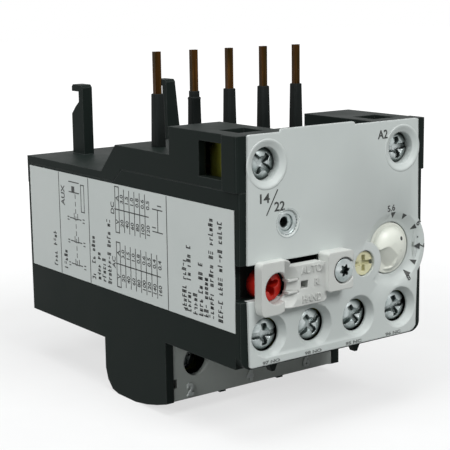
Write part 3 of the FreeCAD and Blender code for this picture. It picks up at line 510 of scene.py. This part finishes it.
def screwRings(centre, radius, length, shank, sink, turn, look):
    # Depth of the front face over radius and angle: a power-curve dome, cut by the slot and the arm
    turns = fullTurn(look["around"])
    spread = np.linspace(look["tip"], 1.0, look["frontRings"])[:, None] * radius
    across = spread * np.cos(turns)[None]
    up = spread * np.sin(turns)[None]
    cos, sin = math.cos(math.radians(turn)), math.sin(math.radians(turn))
    along = across * cos + up * sin
    beside = -across * sin + up * cos
    dome = look["dome"] * (spread / radius) ** look["domePower"] * np.ones_like(across)
    slot = softEdge(np.abs(beside) - look["slotHalf"], look["blur"])
    arm = softEdge(np.abs(along) - look["armHalf"], look["blur"]) * \
        softEdge(np.abs(beside) - look["armReach"], 2 * look["blur"])
    armFloor = look["armDepth"] - look["armSlope"] * np.abs(beside)
    depth = np.maximum(dome, slot * look["slotDepth"] + (1 - slot) * dome)
    depth = np.maximum(depth, arm * armFloor + (1 - arm) * dome)
    hub = look["hubDepth"] - look["hubSlope"] * spread
    depth = np.maximum(depth, np.where(spread < look["hub"], hub, 0))
    deepest = look["headLength"] - look["rim"] - look["web"]
    front = np.stack([across, np.minimum(depth + sink, deepest), up], axis=-1)
    circle = frontCircle(turns)
    backs = [circle * radius + [0, look["headLength"] - look["rim"], 0],
             circle * (radius - look["rim"]) + [0, look["headLength"], 0]]
    # The thread's radius swings with the cosine of the depth over the pitch, less the turn
    steps = np.linspace(look["headLength"] + look["threadGap"], length, look["threadRings"])
    swing = np.cos(2 * np.pi * steps[:, None] / look["pitch"] - turns[None])
    wave = shank - look["threadRise"] * (0.5 + 0.5 * swing)
    thread = np.stack([wave * np.cos(turns), steps[:, None] * np.ones_like(wave), wave * np.sin(turns)],
                      axis=-1)
    return np.concatenate([front, np.array(backs), thread]) / 1000.0 + centre


def buildScrews(name, look):
    low, high = nodeBox(look["node"])
    radius = (high[2] - low[2]) / 2 * 1000
    length = (high[1] - low[1]) * 1000
    meshes = []
    for spot, turn in zip(screwSpots(look["node"], len(look["turns"])), look["turns"]):
        centre = np.array([spot / 1000, low[1], (low[2] + high[2]) / 2])
        rings = screwRings(centre, radius, length, look["shank"], look["sink"], turn, screwLook)
        meshes.append(ringsMesh(rings))
    mesh = joinMeshes(meshes)
    tidyMesh(mesh)
    newPiece(name, mesh, "zinc", "housing", creases["round"], (look["node"],))


for setName, setLook in screwSets.items():
    buildScrews(setName, setLook)
print("screws made")

# Setting knob: a flat skirt, a steep-sided dome and one scooped facet

knobLook = dict(skirt=5.0, skirtThick=1.1, bevel=0.12, grip=4.3, rise=2.0, power=0.55, flat=1.93, crown=0.02,
                facetTurn=228, facetStart=0.2, facetSlope=0.68, facetHalf=2.5, facetWaist=2.4,
                facetFlare=0.45, facetBlur=0.5, startBlur=0.1, shaft=2.0, collar=2.9, collarEnd=6.0,
                rings=60, around=150, tip=0.02)
dotLook = dict(turn=42, reach=2.75, radius=0.40, tip=0.05, lift=0.02, sink=0.03, rings=4, around=20)


def knobDepth(across, up, look):
    # Height over the skirt: a flattened dome, lowered to a slanting plane on one side
    spread = np.hypot(across, up)
    dome = look["rise"] * np.clip(1 - (spread / look["grip"]) ** 2, 0, 1) ** look["power"]
    dome = np.minimum(dome, look["flat"] - look["crown"] * spread)
    turn = math.radians(look["facetTurn"])
    towards = across * math.cos(turn) + up * math.sin(turn)
    beside = -across * math.sin(turn) + up * math.cos(turn)
    plane = look["rise"] - np.clip(towards - look["facetStart"], 0, None) * look["facetSlope"]
    half = look["facetHalf"] - look["facetFlare"] * np.abs(towards - look["facetWaist"])
    inside = softEdge(np.abs(beside) - half, look["facetBlur"])
    inside = inside * softEdge(look["facetStart"] - towards, look["startBlur"])
    facet = np.minimum(dome, np.clip(plane, 0, None))
    return dome * (1 - inside) + facet * inside


def buildKnob(look):
    low, high = nodeBox("setting_dial")
    centre = np.array([(low[0] + high[0]) / 2, 0, (low[2] + high[2]) / 2])
    skirtFront = low[1] + look["rise"] / 1000
    turns = fullTurn(look["around"])
    spread = np.linspace(look["tip"], 1.0, look["rings"])[:, None] * (look["skirt"] - look["bevel"])
    across, up = spread * np.cos(turns)[None], spread * np.sin(turns)[None]
    front = np.stack([across, -knobDepth(across, up, look), up], axis=-1)
    circle = frontCircle(turns)
    rows = [(look["skirt"], look["bevel"]), (look["skirt"], look["skirtThick"]),
            (look["collar"], look["skirtThick"]), (look["collar"], look["collarEnd"]),
            (look["shaft"], look["collarEnd"]), (look["shaft"], (high[1] - skirtFront) * 1000)]
    backs = [circle * radius + [0, depth, 0] for radius, depth in rows]
    rings = np.concatenate([front, np.array(backs)]) / 1000.0 + centre + [0, skirtFront, 0]
    mesh = ringsMesh(rings)
    tidyMesh(mesh)
    newPiece("settingKnob", mesh, "dialCream", "dial", creases["round"], ("setting_dial",))
    buildKnobDot(centre + [0, skirtFront, 0], look, dotLook)


def buildKnobDot(centre, look, dot):
    # A printed disc that lies on the knob's face: two layers of rings, a little over and under it
    turn = math.radians(dot["turn"])
    reach = np.linspace(dot["tip"], 1, dot["rings"])[:, None] * dot["radius"]
    around = fullTurn(dot["around"])
    across = dot["reach"] * math.cos(turn) + reach * np.cos(around)
    up = dot["reach"] * math.sin(turn) + reach * np.sin(around)
    depth = -knobDepth(across, up, look)
    lid = np.stack([across, depth - dot["lift"], up], axis=-1)
    under = np.stack([across, depth + dot["sink"], up], axis=-1)[::-1]
    mesh = ringsMesh(np.concatenate([lid, under]) / 1000.0 + centre)
    tidyMesh(mesh)
    newPiece("knobDot", mesh, "ink", "dial")


buildKnob(knobLook)
print("knob made")

# Insulating sleeves: tapered tubes with a rounded mouth, one of them pushed back

sleeveLook = dict(root=1.0, base=1.22, top=1.04, bore=0.80, length=10.4, lip=0.14, mouth=0.06, around=64,
                  squareness=4.0, neckTop=0.90, neckLength=1.2, neckedPin=2)


def sleeveProfile(bottom, deck, top, necked, look):
    # Radius and height pairs up the outside, over the mouth and down the bore
    def taper(height):
        return look["base"] + (look["top"] - look["base"]) * (height - deck) / (top - deck)

    rows = [(look["root"], bottom), (look["root"], deck), (look["base"], deck)]
    if necked:
        shoulder = top - look["neckLength"]
        # A rolled shoulder, then the thinner neck
        rows += [(taper(shoulder - 0.6), shoulder - 0.6), (taper(shoulder) + 0.07, shoulder - 0.3),
                 (taper(shoulder) + 0.02, shoulder - 0.05), (look["neckTop"], shoulder + 0.02),
                 (look["neckTop"], top - 0.1)]
    else:
        rows += [(taper(top - look["lip"]), top - look["lip"]), (taper(top) - 0.05, top - 0.04)]
    rows += [(look["bore"] + look["mouth"], top), (look["bore"], top - look["mouth"]), (look["bore"], bottom)]
    return np.array(rows)


def buildSleeve(number, look):
    node = "pin_sleeve_" + str(number)
    low, high = (corner * 1000 for corner in nodeBox(node))
    rows = sleeveProfile(low[2], high[2] - look["length"], high[2], number == look["neckedPin"], look)
    # A rounded square: a circle whose reach grows towards the corners as a superellipse does
    turns = fullTurn(look["around"])
    power = look["squareness"]
    grow = (np.abs(np.cos(turns)) ** power + np.abs(np.sin(turns)) ** power) ** (-1 / power)
    middle = (low + high) / 2
    across = middle[0] + rows[:, :1] * grow * np.cos(turns)
    rearwards = middle[1] + rows[:, :1] * grow * np.sin(turns)
    points = np.stack([across, rearwards, rows[:, 1:] * np.ones_like(turns)], axis=-1) / 1000.0
    mesh = meshFrom(points, loopFaces(len(rows), look["around"]))
    tidyMesh(mesh)
    newPiece("sleeve" + str(number), mesh, "sleeveBlack", "housing", creases["round"], (node,))


for sleeveNumber in range(1, 6):
    buildSleeve(sleeveNumber, sleeveLook)
print("sleeves made")

# Pins: flat-ended bars of rectangular section, drawn from the round rods

barLook = dict(halfWide=0.68, halfDeep=0.52, corner=1.55, hidden=0.05, core=0.1)


def barMove(points, pinFoot):
    # Above the sleeve a circle becomes a rectangle: each side's share of the radius is raised and capped
    across, depth, height = points.T.copy()
    blade = height > pinFoot
    middle = (points[blade].min(axis=0) + points[blade].max(axis=0)) / 2
    sideways, rearwards = across - middle[0], depth - middle[1]
    reach = np.maximum(np.hypot(sideways, rearwards), 0.01)
    squareX = np.clip(sideways / reach * barLook["corner"], -1, 1) * barLook["halfWide"]
    squareY = np.clip(rearwards / reach * barLook["corner"], -1, 1) * barLook["halfDeep"]
    solid = reach > barLook["core"]
    across = np.where(blade & solid, middle[0] + squareX, across)
    depth = np.where(blade & solid, middle[1] + squareY, depth)
    return np.column_stack([across, depth, height])


for pinNumber in range(1, 6):
    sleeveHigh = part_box("pin_sleeve_" + str(pinNumber))[1]
    foot = (sleeveHigh.z - moduleStart[2]) * 1000 - barLook["hidden"]
    reshapedCopy("plug_pin_" + str(pinNumber), "pinBar" + str(pinNumber), "copper", "housing",
                 lambda points: barMove(points, foot))
print("pins made")

# Small front pieces: reset drum, plate screw, eyelet, screw funnels, clamp cheeks

drumLook = dict(node="reset_button", radius=2.8, sink=1.2, dome=0.35, lobes=4, pocket=1.45, lobe=0.5,
                deep=2.4, turn=20, back=5.6, finish="buttonRed", body="reset")
starLook = dict(node="plate_screw", radius=2.2, sink=0.35, dome=0.35, lobes=6, pocket=0.92, lobe=0.22,
                deep=1.1, turn=8, back=1.1, finish="zinc", body="housing")
pocketLook = dict(rings=48, around=144, tip=0.02, blur=0.18, domePower=2.2, edge=0.1)


def buildPocketHead(name, look):
    # A round domed head with a lobed pocket: the pocket's reach swings with the cosine of the angle
    low = nodeBox(look["node"])[0]
    across, height = middleOf(look["node"])
    centre = place(across, 0, height)
    front = (low[1] - moduleStart[1]) * 1000 + look["sink"]
    turns = fullTurn(pocketLook["around"])
    spread = np.linspace(pocketLook["tip"], 1.0, pocketLook["rings"])[:, None] * look["radius"]
    wall = look["pocket"] + look["lobe"] * np.cos(look["lobes"] * (turns - math.radians(look["turn"])))
    pocket = softEdge(spread - wall, pocketLook["blur"])
    dome = look["dome"] * (spread / look["radius"]) ** pocketLook["domePower"]
    depth = dome * (1 - pocket) + look["deep"] * pocket
    rings = np.stack([spread * np.cos(turns), front + depth, spread * np.sin(turns)], axis=-1)
    circle = frontCircle(turns) * look["radius"]
    edge = front + look["dome"]
    backs = [circle + [0, edge + pocketLook["edge"], 0], circle + [0, edge + look["back"], 0]]
    mesh = ringsMesh(np.concatenate([rings, np.array(backs)]) / 1000.0 + centre)
    tidyMesh(mesh)
    newPiece(name, mesh, look["finish"], look["body"], creases["round"], (look["node"],))


buildPocketHead("resetDrum", drumLook)
buildPocketHead("flagScrew", starLook)

# Radius and depth pairs, in mm: a stepped metal funnel, and the grey funnel round a deck screw
eyeletLoop = [(2.74, -0.04), (2.45, 0.05), (2.05, 0.52), (1.60, 0.62), (1.46, 1.02), (1.04, 1.12),
              (0.90, 1.35), (0.90, 3.1), (1.45, 3.1), (1.45, 1.5), (2.30, 0.20), (2.74, 0.02)]
funnelLoop = [(4.62, 0.02), (4.55, -0.02), (4.40, -0.04), (4.22, -0.03), (4.05, 0.02), (3.80, 0.15),
              (3.50, 0.31), (3.28, 0.41), (3.12, 0.47), (3.06, 0.65), (3.05, 3.2), (3.25, 3.2), (3.27, 0.75),
              (4.00, 0.25), (4.62, 0.10)]
eyeX, eyeZ = middleOf("cover_eyelet")
eyeletMesh = turnedMesh(eyeletLoop, place(eyeX, 0, eyeZ))
tidyMesh(eyeletMesh)
newPiece("eyeletFunnel", eyeletMesh, "zinc", "housing", creases["sheet"], ("cover_eyelet",))
deckHeight = middleOf("deck_screws")[1]
funnelMesh = joinMeshes([turnedMesh(funnelLoop, place(spot, 0, deckHeight))
                         for spot in screwSpots("deck_screws", 2)])
tidyMesh(funnelMesh)
newPiece("deckFunnels", funnelMesh, "coverGrey", "housing", creases["sheet"])

cheekLook = dict(outer=19.42, thick=0.45, front=5.4, bend=1.5, rear=13.3, low=33.5, high=40.7, rim=0.3,
                 draw=0.06, steps=10)


def cheekMesh(side, look):
    # A strip bent to a quarter circle at its front end, seen from above, carried up the clamp's height
    angles = np.radians(np.linspace(0, 90, look["steps"]))
    middle = look["outer"] - look["bend"]
    ends = []
    for radius in (look["bend"], look["bend"] - look["thick"]):
        arc = np.column_stack([middle + radius * np.sin(angles),
                               look["front"] + look["bend"] - radius * np.cos(angles)])
        ends.append(np.concatenate([arc, [[middle + radius, look["rear"]]]]))
    loop = np.concatenate([ends[0], ends[1][::-1]]) * [side, 1]
    levels = [(look["low"], look["draw"]), (look["low"] + look["rim"], 0), (look["high"] - look["rim"], 0),
              (look["high"], look["draw"])]
    rings = np.stack([np.column_stack([loop[:, 0], loop[:, 1] + draw, np.full(len(loop), level)])
                      for level, draw in levels])
    return ringsMesh(rings / 1000.0 + moduleStart)


cheeks = joinMeshes([cheekMesh(side, cheekLook) for side in (-1, 1)])
tidyMesh(cheeks)
newPiece("clampCheeks", cheeks, "yellowZinc", "housing", creases["sheet"])

# The plate's two slits are shallow grooves: strips that fill them to just below the face
slitLook = dict(start=2.45, end=4.9, low=(-1.58, 0.72), tall=0.46, front=-1.80, back=-0.1)


def buildSlits(look):
    resetX, resetZ = middleOf("reset_button")
    lows = np.array([place(resetX + look["start"], look["front"], resetZ + low) for low in look["low"]])
    highs = np.array([place(resetX + look["end"], look["back"], resetZ + low + look["tall"])
                      for low in look["low"]])
    newPiece("flagGrooves", boxesMesh(lows, highs), "plateGrey", "housing", creases["flat"])


buildSlits(slitLook)
print("small front pieces made")

# Marks moulded on the index plate and the load cover

plateLook = dict(lift=0.16, depth=-1.98)
# Words, place across and up, and the box that they fill
plateWords = [("AUTO", -8.05, 17.0, (4.9, 1.45)), ("R", -6.75, 14.5, (1.15, 1.45)),
              ("HAND", -7.9, 11.6, (4.6, 1.4))]
plateParts = [textMesh(words, plateLook["lift"], frontPlace(x, plateLook["depth"], z), fit)
              for words, x, z, fit in plateWords]
newPiece("plateWords", joinMeshes(plateParts), "plateGrey", "housing", creases["letters"])

poleLook = dict(lift=0.30, left=1.72, depth=25.05, height=-11.0, fit=(1.7, 2.7), weight=0.05)
poleSpots = {"2": -15.0, "4": 0.0, "6": 15.0}  # middle of each pole's load screw, mm across
poleParts = []
for digit, spot in poleSpots.items():
    spotPlace = frontPlace(spot - poleLook["left"], poleLook["depth"], poleLook["height"])
    poleParts.append(textMesh(digit, poleLook["lift"], spotPlace, poleLook["fit"], weight=poleLook["weight"]))
newPiece("poleDigits", joinMeshes(poleParts), "coverGrey", "housing", creases["letters"])

lipLook = dict(lift=0.10, depth=0.02, height=0.52, fit=(4.0, 0.62))
lipWords = [("97 NO", -15.9), ("98 NO", -5.9), ("95 NC", 4.2), ("96 NC", 14.6)]
lipParts = []
for words, x in lipWords:
    lipPlace = frontPlace(x, lipLook["depth"], lipLook["height"])
    lipParts.append(textMesh(words, lipLook["lift"], lipPlace, lipLook["fit"]))
# The raised lip marks take the dark mould colour, a painted shade
newPiece("lipDigits", joinMeshes(lipParts), "mouldShade", "housing", creases["letters"])
print("moulded marks made")

# Printing on the cover: terminal marks and the current scale

inkLift = 0.03
# Turn in degrees, outer and inner reach, half width at the outer end, lean of the tip
scaleMarks = [(89, 7.2, 5.9, 0.62, 0.45), (63.5, 7.2, 6.0, 0.58, 0.3), (31.4, 7.2, 5.9, 0.55, 0.2),
              (-3, 7.3, 6.0, 0.66, 0), (-29.6, 7.2, 6.0, 0.52, 0), (-53, 7.3, 5.9, 0.62, 0)]
# Number, place across and up, height of its figures
scaleNumbers = [("5.6", 13.8, 25.4, 1.25), ("6", 21.25, 21.65, 1.35), ("7", 22.2, 16.9, 1.3),
                ("8", 18.7, 10.95, 1.2)]
scaleDot = dict(turn=12, reach=7.0, depth=0.24, height=0.35)
# Words, place across and up, and the box that they fill
terminalWords = [("A2", 11.35, 39.85, (2.5, 1.7)), ("14", -17.1, 30.75, (2.2, 1.75)),
                 ("22", -13.75, 29.0, (2.4, 1.75))]
terminalStroke = dict(start=(-16.75, 27.6), end=(-14.15, 32.1), half=0.11)


def markMesh(turn, outer, inner, half, lean):
    # A triangle that points at the knob and lies on the dish's slope
    turn = math.radians(turn)
    outward = np.array([math.cos(turn), math.sin(turn)])
    beside = np.array([-math.sin(turn), math.cos(turn)])
    flat = np.array([outward * outer + beside * half, outward * outer - beside * half,
                     outward * inner + [lean, 0]])
    depth = dishDepth(np.hypot(flat[:, 0], flat[:, 1]))
    depth = np.where(dialX + flat[:, 0] > lensLook["start"], np.minimum(depth, lensLook["front"]), depth)
    lid = np.column_stack([dialX + flat[:, 0], depth - inkLift, dialZ + flat[:, 1]])
    points = moduleStart + np.concatenate([lid, lid + [0, 2 * inkLift, 0]]) / 1000.0
    return meshFrom(points, [(0, 1, 2), (5, 4, 3), (0, 3, 4, 1), (1, 4, 5, 2), (2, 5, 3, 0)])


def strokeMesh(start, end, half):
    # A straight printed stroke on the cover's face
    start, end = np.array(start), np.array(end)
    along = (end - start) / np.linalg.norm(end - start)
    beside = np.array([-along[1], along[0]]) * half
    flat = np.array([start - beside, end - beside, end + beside, start + beside])
    lid = np.column_stack([flat[:, 0], np.full(4, -inkLift), flat[:, 1]])
    points = moduleStart + np.concatenate([lid, lid + [0, 2 * inkLift, 0]]) / 1000.0
    sides = [[0, 1, 2, 3], [7, 6, 5, 4], [0, 4, 5, 1], [1, 5, 6, 2], [2, 6, 7, 3], [3, 7, 4, 0]]
    return meshFrom(points, sides)


coverParts = [textMesh(words, inkLift, frontPlace(x, 0, z), fit) for words, x, z, fit in terminalWords]
coverParts.append(strokeMesh(**terminalStroke))
coverParts += [markMesh(*mark) for mark in scaleMarks]
for words, x, z, size in scaleNumbers:
    facing = math.degrees(math.atan2(z - dialZ, x - dialX)) - 90
    coverParts.append(textMesh(words, inkLift, frontPlace(x, 0, z, facing), height=size))
dotAngle = math.radians(scaleDot["turn"])
dotX, dotZ = dialX + scaleDot["reach"] * math.cos(dotAngle), dialZ + scaleDot["reach"] * math.sin(dotAngle)
dotPlace = frontPlace(dotX, scaleDot["depth"], dotZ)
coverParts.append(textMesh(".", inkLift, dotPlace, height=scaleDot["height"]))
coverMesh = joinMeshes(coverParts)
tidyMesh(coverMesh)
newPiece("coverPrint", coverMesh, "ink", "housing", creases["flat"])
print("cover print made")

# Printing on the side label: rules, tables, a schematic and greeked lines

# All places on the label are mm of depth and height
labelLook = dict(proud=0.118, lift=0.022, sunk=0.01, rule=0.23, low=6.6, high=28.85, letter=0.86, stroke=0.27,
                 tall=1.42, smallShare=0.70, wideShare=0.66, tallChance=0.45, word=(3, 9), spare=0.6)
columnRules = (64.7, 52.3, 23.1)
# Depth, then start and end in height, of each greeked line
greekLines = [(67.3, 7.9, 11.2), (67.3, 12.4, 17.0), (62.8, 8.0, 13.2), (51.0, 7.7, 16.9), (48.9, 8.0, 14.1),
              (46.9, 7.9, 13.0), (44.7, 7.8, 21.4), (17.7, 7.7, 18.1), (16.2, 7.8, 20.6), (14.2, 7.6, 13.2),
              (12.4, 7.7, 18.2), (10.7, 7.8, 16.3), (9.0, 7.9, 27.0), (6.2, 7.7, 26.9)]
tables = [dict(title="DC", low=19.0, high=28.6, middle=23.75, rows=6),
          dict(title="AC", low=7.7, high=17.2, middle=12.5, rows=8)]
tableLook = dict(first=41.0, pitch=1.92, head=(-0.75, 0.9), over=1.1, margin=0.4, left=2.2, right=2.4,
                 letter=1.1, letterRise=0.05, letterLeft=2.3, titleRise=1.9, titleSize=1.3,
                 titleSide=0.2, drop=1.65, figure=1.15, step=20, top=3.0)


def rectangles(rows):
    # Rows of depth and height limits on the label's plane, as low and high corners
    rows = np.atleast_2d(np.array(rows, dtype=float))
    outside = np.full(len(rows), -halfModule - labelLook["proud"] - labelLook["lift"])
    inside = np.full(len(rows), -halfModule - labelLook["proud"] + labelLook["sunk"])
    lows = moduleStart + np.column_stack([outside, rows[:, 0], rows[:, 2]]) / 1000.0
    highs = moduleStart + np.column_stack([inside, rows[:, 1], rows[:, 3]]) / 1000.0
    return boxesMesh(lows, highs)


def greekRows(depth, start, end, look):
    # Letter-like strokes along a line: stems and bars drawn by chance, with gaps between words
    spots = np.arange(start, end - look["letter"] * look["spare"], look["letter"])
    gaps = np.cumsum(rng.integers(*look["word"], 12))
    spots = np.delete(spots, gaps[gaps < len(spots)])
    count, stroke = len(spots), look["stroke"]
    tall = rng.random(count) < look["tallChance"]
    height = np.where(tall, look["tall"], look["tall"] * look["smallShare"])
    base = depth - look["tall"] / 2
    width = look["letter"] * look["wideShare"]
    rows = []
    # Two stems, then three bars, each drawn for a share of the letters
    for share, across, reach in ((0.85, 0.0, 1.0), (0.45, width - stroke, 0.95)):
        keep = rng.random(count) < share
        stem = [np.full(count, base), base + height * reach, spots + across, spots + across + stroke]
        rows.append(np.column_stack(stem)[keep])
    for share, level in ((0.45, 0.0), (0.45, 0.48), (0.5, 1.0)):
        keep = rng.random(count) < share
        lower = base + (height - stroke) * level
        rows.append(np.column_stack([lower, lower + stroke, spots, spots + width])[keep])
    return np.concatenate(rows)


def outlineRows(near, far, low, high, thick):
    # The four sides of a frame
    return [(near, near + thick, low, high), (far - thick, far, low, high), (near, far, low, low + thick),
            (near, far, high - thick, high)]


def schematicRows(look):
    # Three poles with their heaters, a broken link to the contact and its frame
    thick = look["rule"]
    rows = []
    for pole in (9.4, 14.4, 19.4):
        rows += [(55.6, 57.0, pole, pole + thick), (58.7, 60.4, pole, pole + thick)]
        rows += outlineRows(57.0, 58.7, pole - 0.1, pole + 1.3, thick)[:3]
        rows += [(60.7, 61.5, pole - 0.5, pole - 0.5 + thick), (60.7, 61.5, pole + 0.1, pole + 0.1 + thick),
                 (54.3, 55.1, pole - 0.5, pole - 0.5 + thick), (54.3, 55.1, pole + 0.2, pole + 0.2 + thick)]
    rows += [(57.8, 57.8 + thick, start, start + 1.0) for start in np.arange(9.4, 24.0, 1.6)]
    rows += outlineRows(54.1, 55.6, 21.2, 27.2, thick)
    rows += [(56.2, 60.6, 25.0, 25.0 + thick), (58.2, 59.4, 25.0, 26.4), (56.2, 60.6, 27.2, 27.2 + thick)]
    rows += [(24.6, 28.2, 21.2, 21.2 + thick), (24.6, 28.2, 25.6, 25.6 + thick)]
    rows += [(26.2, 26.2 + thick, 21.2, 25.6), (27.0, 28.3, 22.0, 22.0 + thick)]
    rows += [(25.0, 26.4, 26.4, 26.4 + thick)]
    return rows


def tableMeshes(table, look, grid):
    # A framed head over ruled rows of two plain numbers: one climbs by a step, the other falls as 1 / row
    thick, lift, first = look["rule"], look["lift"], grid["first"]
    low, high, middle, count = table["low"], table["high"], table["middle"], table["rows"]
    rows = [(first - grid["pitch"] * count, first + grid["over"], middle, middle + thick)]
    rows += outlineRows(first + grid["head"][0], first + grid["head"][1], low, high, thick)
    for row in range(1, count):
        line = first + grid["head"][0] - grid["pitch"] * row
        rows.append((line, line + thick, low + grid["margin"], high - grid["margin"]))
    letterAt, titleAt = first + grid["letterRise"], first + grid["titleRise"]
    meshes = [rectangles(rows),
              textMesh("V", lift, labelPlace(letterAt, low + grid["letterLeft"]), height=grid["letter"]),
              textMesh("A", lift, labelPlace(letterAt, middle + grid["right"]), height=grid["letter"]),
              textMesh(table["title"], lift, labelPlace(titleAt, middle + grid["titleSide"]),
                       height=grid["titleSize"])]
    for row in range(count):
        depth = first - grid["drop"] - grid["pitch"] * row
        for words, height in ((str(grid["step"] * (row + 1)), low + grid["left"]),
                              (str(round(grid["top"] / (row + 1), 1)), middle + grid["right"])):
            meshes.append(textMesh(words, lift, labelPlace(depth, height), height=grid["figure"]))
    return meshes


ruleRows = [(at, at + labelLook["rule"], labelLook["low"], labelLook["high"]) for at in columnRules]
labelParts = [rectangles(ruleRows)]
labelParts.append(rectangles(np.concatenate([greekRows(*line, labelLook) for line in greekLines])))
labelParts.append(rectangles(schematicRows(labelLook)))
labelParts.append(textMesh("AUX", labelLook["lift"], labelPlace(63.2, 24.0), height=1.5))
for table in tables:
    labelParts += tableMeshes(table, labelLook, tableLook)
newPiece("labelPrint", joinMeshes(labelParts), "ink", "housing", creases["flat"])
print("label print made")

# Floor, world, lamps, camera

stageLook = dict(floorSize=3.0, floorColour=(0.24, 0.245, 0.245), floorOther=(0.26, 0.265, 0.265), fibre=40,
                 floorRough=0.9, glow=(0.66, 1.0), glowReach=(0.06, 0.30), ambient=0.12, backdrop=1.0)


def buildFloor(look):
    # Matt paper that keeps its shadow, and grows to white with distance for the camera and for reflections
    half = look["floorSize"] / 2
    corners = [(-half, -half, 0), (half, -half, 0), (half, half, 0), (-half, half, 0)]
    mesh = meshFrom(corners, [(0, 1, 2, 3)], "floor")
    floor = addObject("floor", mesh)
    material, tree, shader = newMaterial("floorPaper")
    fibre = ramp(tree, objectPattern(tree, look["fibre"]), 0.0, 1.0)
    path = addNode(tree, "ShaderNodeLightPath").outputs
    seen = mathNode(tree, "MAXIMUM", path["Is Camera Ray"], path["Is Glossy Ray"])
    distance = addNode(tree, "ShaderNodeVectorMath", operation="LENGTH")
    fillNode(tree, distance, {0: addNode(tree, "ShaderNodeTexCoord").outputs["Object"]})
    glow = ramp(tree, distance.outputs["Value"], *look["glow"], *look["glowReach"])
    fillNode(tree, shader, {
        "Base Color": mixColour(tree, fibre, look["floorColour"], look["floorOther"]),
        "Roughness": look["floorRough"],
        "Specular IOR Level": 0.0,
        "Emission Color": (1, 1, 1, 1),
        "Emission Strength": mathNode(tree, "MULTIPLY", seen, glow),
    })
    mesh.materials.append(material)


def buildWorld(look):
    # White to the camera, to reflections and to clear pieces, dim to every other ray
    world = bpy.data.worlds.new("studio")
    bpy.context.scene.world = world
    world.use_nodes = True
    tree = world.node_tree
    path = addNode(tree, "ShaderNodeLightPath").outputs
    white = mathNode(tree, "MAXIMUM", path["Is Camera Ray"], path["Is Glossy Ray"])
    white = mathNode(tree, "MAXIMUM", white, path["Is Transmission Ray"])
    strength = ramp(tree, white, look["ambient"], look["backdrop"], 0.0, 1.0)
    fillNode(tree, tree.nodes["Background"], {"Color": (1, 1, 1, 1), "Strength": strength})


lamps = {
    "lampAbove": dict(at=(-0.12, -0.10, 0.66), aim=(0.0, 0.0, 0.04), size=0.40, power=2.2),
    "lampLeft": dict(at=(-0.66, -0.14, 0.42), aim=(0.0, 0.0, 0.04), size=0.36, power=3.1),
    "lampFront": dict(at=(0.10, -0.76, 0.66), aim=(0.0, 0.0, 0.04), size=0.44, power=6.2),
}


def buildLamp(name, look):
    light = bpy.data.lights.new(name, "AREA")
    light.shape = "DISK"
    light.size = look["size"]
    light.energy = look["power"]
    lamp = addObject(name, light)
    lamp.location = look["at"]
    lamp.rotation_euler = (Vector(look["aim"]) - Vector(look["at"])).to_track_quat("-Z", "Y").to_euler()


cameraLook = dict(at=(-153.53, -173.45, 68.56), yaw=36.34, pitch=-10.90, roll=-0.81, lens=101.06, sensor=36.0)


def buildCamera(look):
    # Yaw is from +Y towards +X, pitch is upwards, roll turns the picture about the view line
    yaw, pitch, roll = (math.radians(look[key]) for key in ("yaw", "pitch", "roll"))
    forward = Vector((math.sin(yaw) * math.cos(pitch), math.cos(yaw) * math.cos(pitch), math.sin(pitch)))
    across = Vector((math.cos(yaw), -math.sin(yaw), 0.0))
    upward = across.cross(forward)
    right = math.cos(roll) * across + math.sin(roll) * upward
    top = -math.sin(roll) * across + math.cos(roll) * upward
    data = bpy.data.cameras.new("camera")
    data.lens = look["lens"]
    data.sensor_width = look["sensor"]
    camera = addObject("camera", data)
    matrix = Matrix((right, top, -forward)).transposed().to_4x4()
    matrix.translation = Vector(place(*look["at"]))
    camera.matrix_world = matrix
    bpy.context.scene.camera = camera


buildFloor(stageLook)
buildWorld(stageLook)
for lampName, lampLook in lamps.items():
    buildLamp(lampName, lampLook)
buildCamera(cameraLook)
bpy.context.scene.view_settings.view_transform = "Standard"
print("stage, lamps and camera set")
